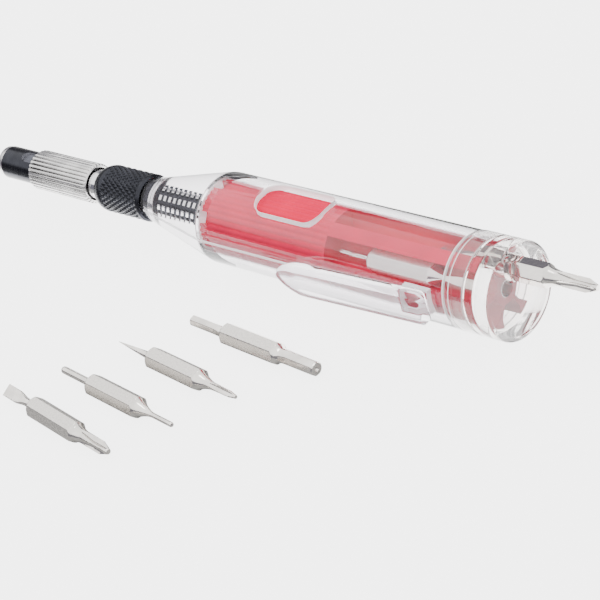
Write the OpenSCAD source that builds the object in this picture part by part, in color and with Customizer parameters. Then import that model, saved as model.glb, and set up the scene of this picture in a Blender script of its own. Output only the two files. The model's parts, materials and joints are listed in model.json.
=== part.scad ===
// Pocket screwdriver: a clear handle with a turning bit drum, a spring-loaded bit socket and double-ended bits
// X runs along the axis from the mouth of the bit socket to the end cap, Z is up
// The axis is at y = 0, z = 0, and angles about it are counted upwards from the -Y side

/* [Fits] */
// Gap between pieces that turn or slide past each other
run_gap = 0.3; // [0.2:0.05:0.4]
// Radial play of a close running fit
fit_gap = 0.05; // [0.03:0.01:0.08]
// Gap left round pieces that are pressed or moulded in
seat_gap = 0.02; // [0.01:0.01:0.04]

/* [Handle] */
// Outside diameter of the clear handle
handle_d = 18; // [17:0.1:20]
// Wall of the clear handle
handle_wall = 1.3; // [1.1:0.05:1.5]
// Length of the straight handle, from the nose to the seam of the cap
handle_len = 61.2; // [56:0.2:72]
// Length of the tapered nose behind the nut
nose_len = 21.2; // [19:0.2:26]
// Diameter of the nose where it meets the nut
nose_d = 8.5; // [7.8:0.1:9.2]
// Radius of the shoulder between the nose and the straight handle
shoulder_r = 6; // [3:0.5:9]
// Distance from the wall that the drum runs against back to the shoulder
bulkhead_set = 1.1; // [0.4:0.1:1.6]
// Diameter of the pivot on that wall
pivot_d = 5; // [4:0.1:6]
// Length of the pivot
pivot_len = 5; // [3:0.1:7]
// Length of the lip that the end cap turns on
lip_len = 4; // [3:0.1:5]

/* [Thumb window] */
// Length of the window along the handle
window_len = 16.4; // [14:0.2:19]
// Width of the window across the handle
window_w = 8.4; // [7:0.1:9.4]
// Corner radius of the window
window_r = 3; // [1.5:0.1:3.4]
// Distance from the shoulder to the window
window_set = 12.4; // [10:0.2:15]
// Angle of the window about the handle
window_angle = 101; // [90:1:110]

/* [Pocket clip] */
// Length of the clip
clip_len = 35; // [31:0.5:40]
// Width of the clip
clip_w = 6.8; // [6:0.1:7.6]
// Thickness of the clip
clip_t = 2.2; // [1.8:0.1:2.6]
// Length of the rounded point at the clip's front
clip_nose = 8; // [5:0.5:11]
// Gap under the clip at its rear end
clip_rear_gap = 0.4; // [0.35:0.05:0.6]
// Gap under the clip at its front end
clip_front_gap = 1.8; // [1.2:0.1:2.4]
// Distance from the clip's rear end to the seam of the cap
clip_set = 3.2; // [2:0.2:5]
// Angle of the clip about the handle
clip_angle = 14; // [0:1:30]
// Length of the foot that holds the clip in the handle
foot_len = 5.6; // [4.6:0.1:6.6]
// Width of the foot
foot_w = 4.4; // [3.6:0.1:5]

/* [End cap] */
// Length of the cap behind its seam
cap_len = 10.1; // [9.4:0.1:12]
// Thickness of the cap's end wall
cap_wall = 4.3; // [3.6:0.1:5]
// How far the cap stands proud of the handle all round
cap_proud = 0.1; // [0:0.02:0.2]
// Radius of the cap's rear edge
cap_edge_r = 1; // [0.6:0.1:1.4]
// Diameter of the stub that carries the drum's rear end
stub_d = 3; // [2.6:0.1:3.4]
// Length of the stub
stub_len = 3.4; // [2.6:0.1:5]

/* [Bit drum] */
// Width of the detent notches in the drum's front rim
notch_w = 2.4; // [1.8:0.1:3]
// Depth of the notches from the drum's outside
notch_depth = 1.8; // [1.2:0.1:2.2]
// Length of the notches along the drum
notch_len = 2.4; // [1.6:0.1:3]
// Number of thumb ribs round the front of the drum
rib_count = 40; // [30:2:48]
// Depth of the grooves between the ribs
rib_depth = 0.25; // [0.15:0.01:0.35]
// Number of bit slots round the rear of the drum
slot_count = 6; // [5:1:6]
// Wall left outside the stored bits
slot_rim = 0.4; // [0.3:0.02:0.5]
// Play between a bit and the sides of its slot
slot_play = 0.1; // [0.06:0.01:0.14]
// Angle of the slot that lines up with the hole in the cap
slot_angle = 107; // [90:1:120]
// Diameter of the ball that clicks the drum into place
ball_d = 1.6; // [1.4:0.1:1.8]

/* [Bits] */
// Width of the bits across their flats
hex_af = 4; // [3.8:0.05:4.2]
// Length of the hexagonal middle of a bit
hex_len = 15; // [13:0.2:16]
// Length of the front tip of a bit
front_tip_len = 9.4; // [8.2:0.1:10]
// Length of the rear tip of a bit
rear_tip_len = 9.9; // [8.8:0.1:11]
// How far the bit in the cap is slid out of its stored place
bit_out = 22.7; // [18:0.1:24]
// Diameter of the larger tips
tip_d = 2.6; // [2.2:0.05:2.9]
// Diameter of the smaller tips
fine_tip_d = 1.6; // [1.2:0.05:1.9]

/* [Bit socket] */
// Outside diameter of the socket tube
tube_d = 6.8; // [6.5:0.05:7.4]
// Wall of the tube round the shank
tube_wall = 0.8; // [0.7:0.02:0.9]
// Length of the tube
tube_len = 19.2; // [18:0.1:21]
// Depth of the hexagonal socket
socket_depth = 11.5; // [10:0.1:12]
// Diameter of the round mouth of the socket
mouth_d = 5; // [4.9:0.02:5.2]
// Depth of the round mouth
mouth_depth = 1.2; // [0.8:0.1:2]
// Width of the slot over the leaf spring
leaf_slot_w = 2.5; // [2.1:0.05:2.9]
// Distance from the mouth to the front end of that slot
leaf_slot_set = 6.6; // [5:0.1:7.4]
// Length of that slot
leaf_slot_len = 7.4; // [6:0.1:7.8]
// Thickness of the leaf spring
leaf_t = 0.5; // [0.3:0.02:0.7]
// Diameter of the magnet at the bottom of the socket
magnet_d = 3.2; // [2.6:0.1:3.4]
// Length of the magnet
magnet_len = 3; // [2:0.1:4]

/* [Sliding sleeve] */
// Distance from the socket's mouth to the sleeve
sleeve_set = 10.5; // [9.6:0.1:12]
// Length of the sleeve
sleeve_len = 17.5; // [16.6:0.1:19]
// Wall of the sleeve
sleeve_wall = 0.7; // [0.6:0.02:0.9]
// Number of flutes round the sleeve
flute_count = 30; // [24:2:36]
// Depth of the flutes
flute_depth = 0.22; // [0.12:0.01:0.3]
// Thickness of the web inside the sleeve that the spring pushes on
web_t = 1.2; // [0.9:0.1:1.6]
// Wire of the sleeve's spring
spring_wire = 0.45; // [0.35:0.02:0.5]
// Turns of the sleeve's spring
spring_turns = 5; // [4:1:6]

/* [Nut and shank] */
// Length of bare neck between the sleeve and the nut
neck_len = 2.6; // [2.5:0.1:3.4]
// Outside diameter of the nut
nut_d = 9.64; // [9.2:0.02:10.4]
// Length of the nut
nut_len = 14.2; // [12.6:0.1:16]
// Wall of the nut outside its thread
nut_wall = 0.8; // [0.7:0.02:0.9]
// Thickness of the nut's front wall
nut_lip = 2.6; // [2:0.1:3.2]
// Length of the domed front of the nut
nut_dome = 3; // [2.6:0.1:3.6]
// Diameter of the nut's front face
nut_face_d = 7.3; // [7:0.1:7.8]
// Pitch of the thread
thread_pitch = 0.8; // [0.7:0.05:1]
// Depth of the thread
thread_depth = 0.3; // [0.2:0.02:0.4]
// Diameter of the knurled end of the shank
knurl_d = 3.3; // [3:0.1:4]
// Distance from the handle's nose to the knurled end of the shank
knurl_set = 4.6; // [4.2:0.1:5]
// Length of the knurled end of the shank
knurl_len = 12.5; // [10:0.1:13.4]
// Number of grooves round the knurled end
knurl_count = 8; // [6:1:10]
// Rows of teeth along the knurled end
knurl_rows = 8; // [6:1:9]

/* [Hidden] */
$fn = 96;
// Excess length that lets a cut run through a face
overrun = 1;
// Round radii
handle_r = handle_d / 2;
bore_r = handle_r - handle_wall;
nose_r = nose_d / 2;
tube_r = tube_d / 2;
shank_r = tube_r - tube_wall;
sleeve_bore_r = tube_r + fit_gap;
sleeve_r = sleeve_bore_r + sleeve_wall;
ring_r = sleeve_bore_r - run_gap;
nut_r = nut_d / 2;
nut_face_r = nut_face_d / 2;
thread_bore_r = nut_r - nut_wall;
thread_r = thread_bore_r - fit_gap;
knurl_r = knurl_d / 2;
pivot_r = pivot_d / 2;
drum_r = bore_r - run_gap;
ball_r = ball_d / 2;
stub_r = stub_d / 2;
magnet_r = magnet_d / 2;
tip_r = tip_d / 2;
fine_tip_r = fine_tip_d / 2;

// Stations along the axis, from the socket's mouth
sleeve_x1 = sleeve_set + sleeve_len;
nut_x0 = sleeve_x1 + neck_len;
nut_x1 = nut_x0 + nut_len;
nose_x0 = nut_x1 + run_gap;
shoulder_x = nut_x1 + nose_len;
handle_x1 = shoulder_x + handle_len;
lip_x1 = handle_x1 + lip_len;
cap_x1 = handle_x1 + cap_len;
cap_floor_x = cap_x1 - cap_wall;
bulkhead_x = shoulder_x - bulkhead_set;
drum_x0 = bulkhead_x + run_gap;
drum_x1 = cap_floor_x - run_gap;

// Bits and their slots in the drum
hex_corner_r = hex_af / sqrt(3);
slot_af = hex_af + 2 * slot_play;
slot_w = 2 * slot_af / sqrt(3);
bit_len = front_tip_len + hex_len + rear_tip_len;
bit_circle = drum_r - slot_rim - hex_af / 2;
slot_x0 = drum_x1 - bit_len - 2 * run_gap;
bit_home_x = slot_x0 + run_gap + front_tip_len + hex_len / 2;
slot_pitch_angle = 360 / slot_count;
hex_end_share = 0.88;
hex_end_r = hex_end_share * hex_af / 2;
hex_chamfer_share = 0.6;
hex_chamfer = hex_chamfer_share * (hex_corner_r - hex_end_r) / tan(30);

// Lip, bead and skirt of the lap joint between handle and cap
lip_share = 0.54;
lip_r = bore_r + (1 - lip_share) * handle_wall;
bead_r = fit_gap * 2;
skirt_r = lip_r + fit_gap;
seam_gap = run_gap / 2;
cap_x0 = handle_x1 + seam_gap;
cap_r = handle_r + cap_proud;
cap_step_x = lip_x1 + run_gap;

// Socket, leaf spring and shank
hex_play = slot_play;
socket_af = hex_af + 2 * hex_play;
leaf_floor = socket_af / 2 + fit_gap;
leaf_slot_x1 = leaf_slot_set + leaf_slot_len;
shank_x0 = leaf_slot_x1 + run_gap;
pilot_share = 0.72;
pilot_r = max(pilot_share * shank_r, magnet_r + fit_gap);
pilot_depth = socket_depth + max(front_tip_len, rear_tip_len);
magnet_x0 = pilot_depth;
tube_chamfer_share = 0.16;
tube_chamfer = tube_chamfer_share * tube_r;

// Sleeve, spring and neck ring
web_x0 = tube_len + run_gap / 2;
web_x1 = web_x0 + web_t;
web_bore_r = shank_r + 2 * fit_gap;
sleeve_chamfer = sleeve_wall / 2;
ring_tuck = run_gap * 2;
ring_x0 = sleeve_x1 - ring_tuck;
ring_flange_x0 = nut_x0 + nut_lip + run_gap;
ring_flange_t = nut_lip / 2;
ring_flange_r = thread_bore_r - run_gap;
neck_x0 = ring_flange_x0 + ring_flange_t + seat_gap;
spring_mid_r = (shank_r + sleeve_bore_r) / 2;
spring_x0 = web_x1 + seat_gap;
spring_x1 = ring_x0 - seat_gap;

// Knurled end of the shank, moulded into the nose
knurl_x0 = nose_x0 + knurl_set;
knurl_x1 = knurl_x0 + knurl_len;
collar_share = 0.42;
collar_t = collar_share * knurl_set;
collar_x0 = nose_x0 + collar_share * knurl_set;
collar_r = (shank_r + thread_r) / 2;
knurl_depth_share = 0.14;
knurl_groove = knurl_depth_share * knurl_r;
knurl_pitch = knurl_len / knurl_rows;

// Detent that clicks the drum into place
detent_angle = slot_angle + 2 * slot_pitch_angle;
ball_show = run_gap - fit_gap;
ball_x = bulkhead_x + ball_show - ball_r;
ball_circle = drum_r - notch_depth / 2;
pocket_share = 2.2;
pocket_len = pocket_share * ball_d;
pocket_x0 = bulkhead_x - pocket_len;
detent_wire_share = 0.16;
detent_wire = detent_wire_share * ball_d;
detent_turns = 4;

// Clip
clip_x1 = handle_x1 - clip_set;
clip_x0 = clip_x1 - clip_len;
clip_rear_r = handle_r + clip_rear_gap;
clip_front_r = handle_r + clip_front_gap;
foot_margin = clip_t / 4;
foot_x1 = clip_x1 - foot_margin;
foot_x0 = foot_x1 - foot_len;
foot_r = bore_r + fit_gap * 2;
foot_play = run_gap / 2;

// Window, above the drum
window_x = shoulder_x + window_set + window_len / 2;

// Loose bits on the table, as shares of the row that they lie in
table_z = -handle_r;
loose_start_x = 54.9;
loose_start_y = -49.5;
loose_run = 30.1;
loose_depth = 28.2;
loose_run_shares = [0, 0.306, 0.595, 1];
loose_depth_shares = [0, 0.312, 0.649, 1];
loose_turns = [-8.3, -6.2, -5.9, -3.9];

// Shapes that several pieces share

// Solid turned about the axis from points that hold a station and a radius
module turned(points) {
    rotate([0, 90, 0])
        rotate_extrude()
            polygon([for (p = points) [p[1], p[0]]]);
}

// Round rod on the axis between two stations
module rod(x0, x1, r) {
    translate([x0, 0, 0])
        rotate([0, 90, 0])
            cylinder(h = x1 - x0, r = r);
}

// Flat outline drawn across the axis, pushed along it between two stations
module along_axis(x0, x1) {
    translate([x0, 0, 0])
        rotate([0, 90, 0])
            linear_extrude(height = x1 - x0)
                children();
}

// Hexagonal rod with two of its flats facing the -Y and +Y sides
module hex_rod(x0, x1, af) {
    along_axis(x0, x1)
        circle(r = af / sqrt(3), $fn = 6);
}

// Turns what is drawn on the -Y side to an angle about the axis
module at_angle(a) {
    rotate([-a, 0, 0])
        children();
}

// Outline of a grooved round bar: flat crests at the full radius, grooves of one depth
module grooved_outline(r, count, depth) {
    pitch = 360 / count;
    crest_shares = [-0.3, 0.3];
    groove_shares = [0.42, 0.58];
    polygon([
        for (i = [0 : count - 1])
            for (p = concat([for (s = crest_shares) [r, s]], [for (s = groove_shares) [r - depth, s]]))
                p[0] * [cos((i + p[1]) * pitch), sin((i + p[1]) * pitch)]
    ]);
}

// Arc of a profile, from one angle to another
function arc(cx, cy, r, a0, a1, steps = 6) =
    [for (i = [0 : steps]) let (a = a0 + (a1 - a0) * i / steps) [cx + r * cos(a), cy + r * sin(a)]];

// Helical wire as one closed tube, with its ends cut square
module coil_spring(x0, x1, mid_r, wire, turns) {
    rings_per_turn = 8;
    sides = 6;
    rings = turns * rings_per_turn;
    wire_r = wire / 2;
    rise = x1 - x0 - wire;
    centre = function (i) [
        x0 + wire_r + rise * i / rings,
        mid_r * cos(360 * i / rings_per_turn),
        mid_r * sin(360 * i / rings_per_turn)
    ];
    out = function (i) [0, cos(360 * i / rings_per_turn), sin(360 * i / rings_per_turn)];
    points = [
        for (i = [0 : rings])
            for (k = [0 : sides - 1])
                centre(i) + wire_r * (cos(360 * k / sides) * [1, 0, 0] + sin(360 * k / sides) * out(i))
    ];
    walls = [
        for (i = [0 : rings - 1])
            for (k = [0 : sides - 1])
                let (a = i * sides + k, b = i * sides + (k + 1) % sides)
                    for (f = [[a, b, b + sides], [a, b + sides, a + sides]]) f
    ];
    start_cap = [for (k = [1 : sides - 2]) [0, k + 1, k]];
    last = rings * sides;
    end_cap = [for (k = [1 : sides - 2]) [last, last + k, last + k + 1]];
    echo(least_gap_between_coils = rise / turns - wire);
    polyhedron(points = points, faces = concat(walls, start_cap, end_cap));
}

// Bits

// Turned root of a tip, from the end of the hexagon down to the tip's own radius
function tip_root(r, root_len, len) = [[0, 0], [0, hex_end_r], [root_len, r], [len, r], [len, 0]];

// Cross-point tip that grows along +X from the end of the hexagon
module cross_tip(r, len) {
    point_share = 0.4;
    end_share = 0.3;
    flute_share = 0.62;
    flute_start_share = 0.36;
    root_share = 0.2;
    point_x = len * (1 - point_share);
    difference() {
        turned([
            [0, 0], [0, hex_end_r], [root_share * len, r], [point_x, r], [len, end_share * r], [len, 0]
        ]);
        for (a = [0 : 90 : 270])
            at_angle(a + 45)
                translate([0, -r, 0])
                    rod(flute_start_share * len, len + overrun, flute_share * r);
    }
}

// Flat blade tip
module blade_tip(r, len) {
    root_share = 0.2;
    wedge_share = 0.35;
    edge_share = 0.18;
    wedge_x = wedge_share * len;
    half_edge = edge_share * r;
    intersection() {
        turned(tip_root(r, root_share * len, len));
        rotate([90, 0, 0])
            linear_extrude(height = 4 * hex_end_r, center = true)
                polygon([
                    [0, -hex_end_r], [wedge_x, -r], [len, -half_edge],
                    [len, half_edge], [wedge_x, r], [0, hex_end_r]
                ]);
    }
}

// Round pin tip with a long root
module pin_tip(r, len, root_share) {
    turned(tip_root(r, root_share * len, len));
}

// Hexagonal key tip
module key_tip(af, len) {
    root_share = 0.16;
    neck_share = 0.9;
    root_len = root_share * len;
    turned([[0, 0], [0, hex_end_r], [root_len, neck_share * af / 2], [root_len, 0]]);
    hex_rod(0, len, af);
}

// Hexagonal middle of a bit, centred on the origin, with turned ends
module hex_middle() {
    half = hex_len / 2;
    intersection() {
        hex_rod(-half, half, hex_af);
        turned([
            [-half, 0], [-half, hex_end_r], [hex_chamfer - half, hex_corner_r],
            [half - hex_chamfer, hex_corner_r], [half, hex_end_r], [half, 0]
        ]);
    }
}

// Bit from its hexagon and its two tips, the front tip towards -X
module bit() {
    hex_middle();
    translate([-hex_len / 2, 0, 0])
        mirror([1, 0, 0])
            children(0);
    translate([hex_len / 2, 0, 0])
        children(1);
}

// Places a bit in a slot of the drum
module in_slot(i, slide) {
    at_angle(slot_angle + i * slot_pitch_angle)
        translate([bit_home_x + slide, -bit_circle, 0])
            children();
}

// Lays a bit flat on the table
module on_table(i) {
    translate([
        loose_start_x + loose_run * loose_run_shares[i],
        loose_start_y + loose_depth * loose_depth_shares[i],
        table_z + hex_af / 2
    ])
        rotate([90, 0, loose_turns[i]])
            children();
}

// Pieces of the handle

// Outside of the handle: threaded neck, tapered nose, straight body and the lip for the cap
function thread_points() = [
    for (i = [0 : floor((nose_x0 - neck_x0) / thread_pitch) - 1])
        for (p = [[0, thread_depth], [0.25, 0], [0.5, 0], [0.75, thread_depth]])
            [neck_x0 + (i + p[0]) * thread_pitch, thread_r - p[1]]
];
nose_slope = atan((handle_r - nose_r) / (shoulder_x - nose_x0));
shoulder_t = shoulder_r * tan(nose_slope / 2);
bead_x = handle_x1 + lip_len / 2;
shell_points = concat(
    [[neck_x0, 0]],
    thread_points(),
    [[nose_x0, thread_r - thread_depth], [nose_x0, nose_r]],
    arc(shoulder_x + shoulder_t, handle_r - shoulder_r, shoulder_r, 90 + nose_slope, 90),
    [
        [handle_x1, handle_r], [handle_x1, lip_r], [bead_x - bead_r, lip_r], [bead_x, lip_r + bead_r],
        [bead_x + bead_r, lip_r], [lip_x1, lip_r], [lip_x1, 0]
    ]
);

// Window outline with round corners
module window_outline() {
    inner_l = window_len - 2 * window_r;
    inner_w = window_w - 2 * window_r;
    square([window_len, inner_w], center = true);
    square([inner_l, window_w], center = true);
    for (sx = [-1, 1])
        for (sy = [-1, 1])
            translate([sx * inner_l / 2, sy * inner_w / 2])
                circle(r = window_r);
}

module handle_shell() {
    color("lavenderblush", 0.4)
        difference() {
            turned(shell_points);
            difference() {
                rod(bulkhead_x, lip_x1 + overrun, bore_r);
                rod(bulkhead_x - overrun, bulkhead_x + pivot_len, pivot_r);
            }
            rod(neck_x0 - overrun, knurl_x0, shank_r + seat_gap);
            rod(knurl_x0 - overrun, knurl_x1 + seat_gap, knurl_r + seat_gap);
            rod(collar_x0 - seat_gap, collar_x0 + collar_t + seat_gap, collar_r + seat_gap);
            at_angle(window_angle)
                translate([window_x, 0, 0])
                    rotate([90, 0, 0])
                        linear_extrude(height = handle_d)
                            window_outline();
            at_angle(clip_angle)
                translate([foot_x0 - foot_play, -handle_r - overrun, -foot_w / 2 - foot_play])
                    cube([foot_len + 2 * foot_play, handle_r + overrun, foot_w + 2 * foot_play]);
            at_angle(detent_angle)
                translate([0, -ball_circle, 0])
                    rod(pocket_x0, bulkhead_x + overrun, ball_r + fit_gap);
        }
}

// Side view of the clip: it rises towards its front
module clip_side() {
    polygon([
        [clip_x0, -clip_front_r], [clip_x1, -clip_rear_r],
        [clip_x1, -clip_rear_r - clip_t], [clip_x0, -clip_front_r - clip_t]
    ]);
}

// Plan of the clip: straight sides and a rounded point
module clip_plan() {
    nose_steps = 12;
    polygon(concat(
        [[clip_x1, -clip_w / 2], [clip_x1, clip_w / 2]],
        [
            for (i = [0 : nose_steps])
                let (a = 90 + 180 * i / nose_steps)
                    [clip_x0 + clip_nose * (1 + cos(a)), clip_w / 2 * sin(a)]
        ]
    ));
}

module pocket_clip() {
    color("lavender", 0.5)
        at_angle(clip_angle) {
            intersection() {
                linear_extrude(height = clip_w, center = true)
                    clip_side();
                rotate([90, 0, 0])
                    linear_extrude(height = 2 * handle_d)
                        clip_plan();
            }
            translate([foot_x0, -clip_rear_r - clip_t / 2, -foot_w / 2])
                cube([foot_len, clip_rear_r + clip_t / 2 - foot_r, foot_w]);
        }
}

module end_cap() {
    color("seashell", 0.5) {
        difference() {
            turned(concat(
                [[cap_x0, 0], [cap_x0, cap_r]],
                arc(cap_x1 - cap_edge_r, cap_r - cap_edge_r, cap_edge_r, 90, 0),
                [[cap_x1, 0]]
            ));
            rod(cap_x0 - overrun, cap_step_x, skirt_r);
            rod(cap_x0 - overrun, cap_floor_x, bore_r);
            turned([
                [bead_x - bead_r - fit_gap, 0], [bead_x - bead_r - fit_gap, skirt_r],
                [bead_x, skirt_r + bead_r], [bead_x + bead_r + fit_gap, skirt_r],
                [bead_x + bead_r + fit_gap, 0]
            ]);
            at_angle(slot_angle)
                translate([0, -bit_circle, 0])
                    rod(cap_floor_x - overrun, cap_x1 + overrun, hex_corner_r + slot_play);
        }
        rod(cap_floor_x - stub_len, cap_floor_x + cap_wall / 2, stub_r);
    }
}

// Outline of a bit slot: a hexagon that opens to the outside of the drum
module slot_outline() {
    circle(r = slot_af / sqrt(3), $fn = 6);
    translate([-slot_w / 2, -handle_r])
        square([slot_w, handle_r]);
}

module bit_drum() {
    drum_mid_x = slot_x0 - run_gap;
    color("crimson")
        difference() {
            union() {
                along_axis(drum_x0, drum_mid_x)
                    grooved_outline(drum_r - fit_gap, rib_count, rib_depth);
                rod(drum_mid_x - run_gap, drum_x1, drum_r);
            }
            rod(drum_x1 - stub_len - run_gap, drum_x1 + overrun, stub_r + fit_gap);
            for (i = [0 : slot_count - 1])
                in_slot(i, 0)
                    along_axis(slot_x0 - bit_home_x, drum_x1 - bit_home_x + overrun)
                        slot_outline();
            rod(drum_x0 - overrun, drum_x0 + pivot_len, pivot_r + fit_gap);
            for (i = [0 : slot_count - 1])
                at_angle(slot_angle + i * slot_pitch_angle)
                    translate([drum_x0 - overrun, -drum_r - overrun, -notch_w / 2])
                        cube([notch_len + overrun, notch_depth + overrun, notch_w]);
        }
}

module detent_ball() {
    color("silver")
        at_angle(detent_angle)
            translate([ball_x, -ball_circle, 0])
                sphere(r = ball_r);
}

module detent_spring() {
    color("gainsboro")
        at_angle(detent_angle)
            translate([0, -ball_circle, 0])
                coil_spring(
                    pocket_x0 + seat_gap, ball_x - ball_r - seat_gap,
                    ball_r - detent_wire, detent_wire, detent_turns
                );
}

// Pieces of the front end

module drive_shank() {
    color("dimgray")
        difference() {
            turned(concat(
                [[shank_x0, 0], [shank_x0, shank_r], [collar_x0 + collar_t, shank_r], [knurl_x0, knurl_r]],
                [
                    for (i = [1 : knurl_rows - 1])
                        for (p = [[-0.2, 0], [-0.1, 1], [0.1, 1], [0.2, 0]])
                            [knurl_x0 + (i + p[0]) * knurl_pitch, knurl_r - p[1] * knurl_groove]
                ],
                [[knurl_x1, knurl_r], [knurl_x1, 0]]
            ));
            for (i = [0 : knurl_count - 1])
                at_angle(i * 360 / knurl_count)
                    translate([knurl_x0, -knurl_r - overrun, -knurl_groove])
                        cube([knurl_len + overrun, overrun + knurl_groove, 2 * knurl_groove]);
            rod(shank_x0 - overrun, magnet_x0, pilot_r);
            rod(shank_x0 - overrun, magnet_x0 + magnet_len + seat_gap, magnet_r + seat_gap);
        }
}

module shank_collar() {
    color("gainsboro")
        difference() {
            rod(collar_x0, collar_x0 + collar_t, collar_r);
            rod(collar_x0 - overrun, collar_x0 + collar_t + overrun, shank_r + seat_gap);
        }
}

module chuck_nut() {
    rear_chamfer = nut_wall / 2;
    dome_rise = nut_r - nut_face_r;
    dome_r = (nut_dome * nut_dome + dome_rise * dome_rise) / (2 * dome_rise);
    dome_angle = asin(nut_dome / dome_r);
    color("darkslategray")
        difference() {
            turned(concat(
                [[nut_x0, 0]],
                arc(nut_x0 + nut_dome, nut_r - dome_r, dome_r, 90 + dome_angle, 90),
                [[nut_x1 - rear_chamfer, nut_r], [nut_x1, nut_r - rear_chamfer], [nut_x1, 0]]
            ));
            rod(nut_x0 - overrun, nut_x1, ring_r + fit_gap);
            rod(nut_x0 + nut_lip, nut_x1 + overrun, thread_bore_r);
        }
}

module neck_ring() {
    color("whitesmoke")
        difference() {
            turned([
                [ring_x0, 0], [ring_x0, ring_r], [ring_flange_x0, ring_r], [ring_flange_x0, ring_flange_r],
                [ring_flange_x0 + ring_flange_t, ring_flange_r], [ring_flange_x0 + ring_flange_t, 0]
            ]);
            rod(ring_x0 - overrun, neck_x0 + overrun, shank_r + seat_gap);
        }
}

module grip_sleeve() {
    color("silver")
        difference() {
            intersection() {
                along_axis(sleeve_set, sleeve_x1)
                    grooved_outline(sleeve_r, flute_count, flute_depth);
                turned([
                    [sleeve_set, 0], [sleeve_set, sleeve_r - sleeve_chamfer],
                    [sleeve_set + 2 * sleeve_chamfer, sleeve_r + sleeve_chamfer],
                    [sleeve_x1 - 2 * sleeve_chamfer, sleeve_r + sleeve_chamfer],
                    [sleeve_x1, sleeve_r - sleeve_chamfer], [sleeve_x1, 0]
                ]);
            }
            rod(sleeve_set - overrun, web_x0, sleeve_bore_r);
            rod(sleeve_set - overrun, sleeve_x1 + overrun, web_bore_r);
            rod(web_x1, sleeve_x1 + overrun, sleeve_bore_r);
        }
}

module sleeve_spring() {
    color("lightgray")
        coil_spring(spring_x0, spring_x1, spring_mid_r, spring_wire, spring_turns);
}

// Slot with a round front end, over the leaf spring
module leaf_slot_outline(w, x0, x1) {
    translate([x0 + w / 2, -w / 2])
        square([x1 - x0 - w / 2, w]);
    translate([x0 + w / 2, 0])
        circle(d = w);
}

module socket_tube() {
    color("darkslategray")
        difference() {
            turned([
                [0, 0], [0, tube_r - tube_chamfer], [tube_chamfer, tube_r], [tube_len, tube_r], [tube_len, 0]
            ]);
            rod(-overrun, mouth_depth, mouth_d / 2);
            rotate([90, 0, 0])
                hex_rod(-overrun, socket_depth, socket_af);
            rod(0, tube_len + overrun, pilot_r);
            rod(shank_x0 - seat_gap, tube_len + overrun, shank_r + seat_gap);
            translate([0, 0, leaf_floor])
                linear_extrude(height = tube_r)
                    leaf_slot_outline(leaf_slot_w, leaf_slot_set, leaf_slot_x1);
        }
}

module bit_leaf_spring() {
    color("slategray")
        translate([0, 0, leaf_floor + seat_gap])
            linear_extrude(height = leaf_t)
                leaf_slot_outline(
                    leaf_slot_w - 2 * fit_gap, leaf_slot_set + fit_gap, leaf_slot_x1 - fit_gap
                );
}

module socket_magnet() {
    color("gray")
        rod(magnet_x0, magnet_x0 + magnet_len, magnet_r);
}

// Bits in the drum and on the table

module stored_bit() {
    color("silver")
        in_slot(slot_count - 1, 0)
            bit() {
                cross_tip(fine_tip_r, front_tip_len);
                blade_tip(fine_tip_r, rear_tip_len);
            }
}

module dispensed_bit() {
    color("silver")
        in_slot(0, bit_out)
            bit() {
                blade_tip(tip_r, front_tip_len);
                cross_tip(tip_r, rear_tip_len);
            }
}

module slotted_phillips_bit() {
    color("silver")
        on_table(0)
            bit() {
                blade_tip(tip_r, front_tip_len);
                cross_tip(tip_r, rear_tip_len);
            }
}

module pin_bit() {
    long_root_share = 0.3;
    short_root_share = 0.12;
    fine_pin_share = 0.7;
    color("silver")
        on_table(1)
            bit() {
                pin_tip(fine_tip_r, front_tip_len, short_root_share);
                pin_tip(fine_pin_share * fine_tip_r, rear_tip_len, long_root_share);
            }
}

module fine_blade_bit() {
    color("silver")
        on_table(2)
            bit() {
                blade_tip(fine_tip_r, front_tip_len);
                cross_tip(fine_tip_r, rear_tip_len);
            }
}

module hex_key_bit() {
    small_key_share = 0.76;
    color("silver")
        on_table(3)
            bit() {
                key_tip(small_key_share * tip_d, front_tip_len);
                key_tip(tip_d, rear_tip_len);
            }
}

handle_shell();
pocket_clip();
end_cap();
bit_drum();
detent_ball();
detent_spring();
drive_shank();
shank_collar();
chuck_nut();
neck_ring();
grip_sleeve();
sleeve_spring();
socket_tube();
bit_leaf_spring();
socket_magnet();
stored_bit();
dispensed_bit();
slotted_phillips_bit();
pin_bit();
fine_blade_bit();
hex_key_bit();
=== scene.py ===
"""Dresses the pocket screwdriver's frame: clear handle, clip and cap, red drum, metal front end and bits.

Shapes are drawn in millimetres about the screwdriver's axis and turned into metres at the end.
X runs along the axis from the socket's mouth to the cap, and angles about it rise from the -Y side.
"""

import json
import math

import bmesh
import bpy
import numpy as np
from bpy.props import FloatProperty, FloatVectorProperty, IntProperty, PointerProperty
from mathutils import Matrix, Vector


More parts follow.
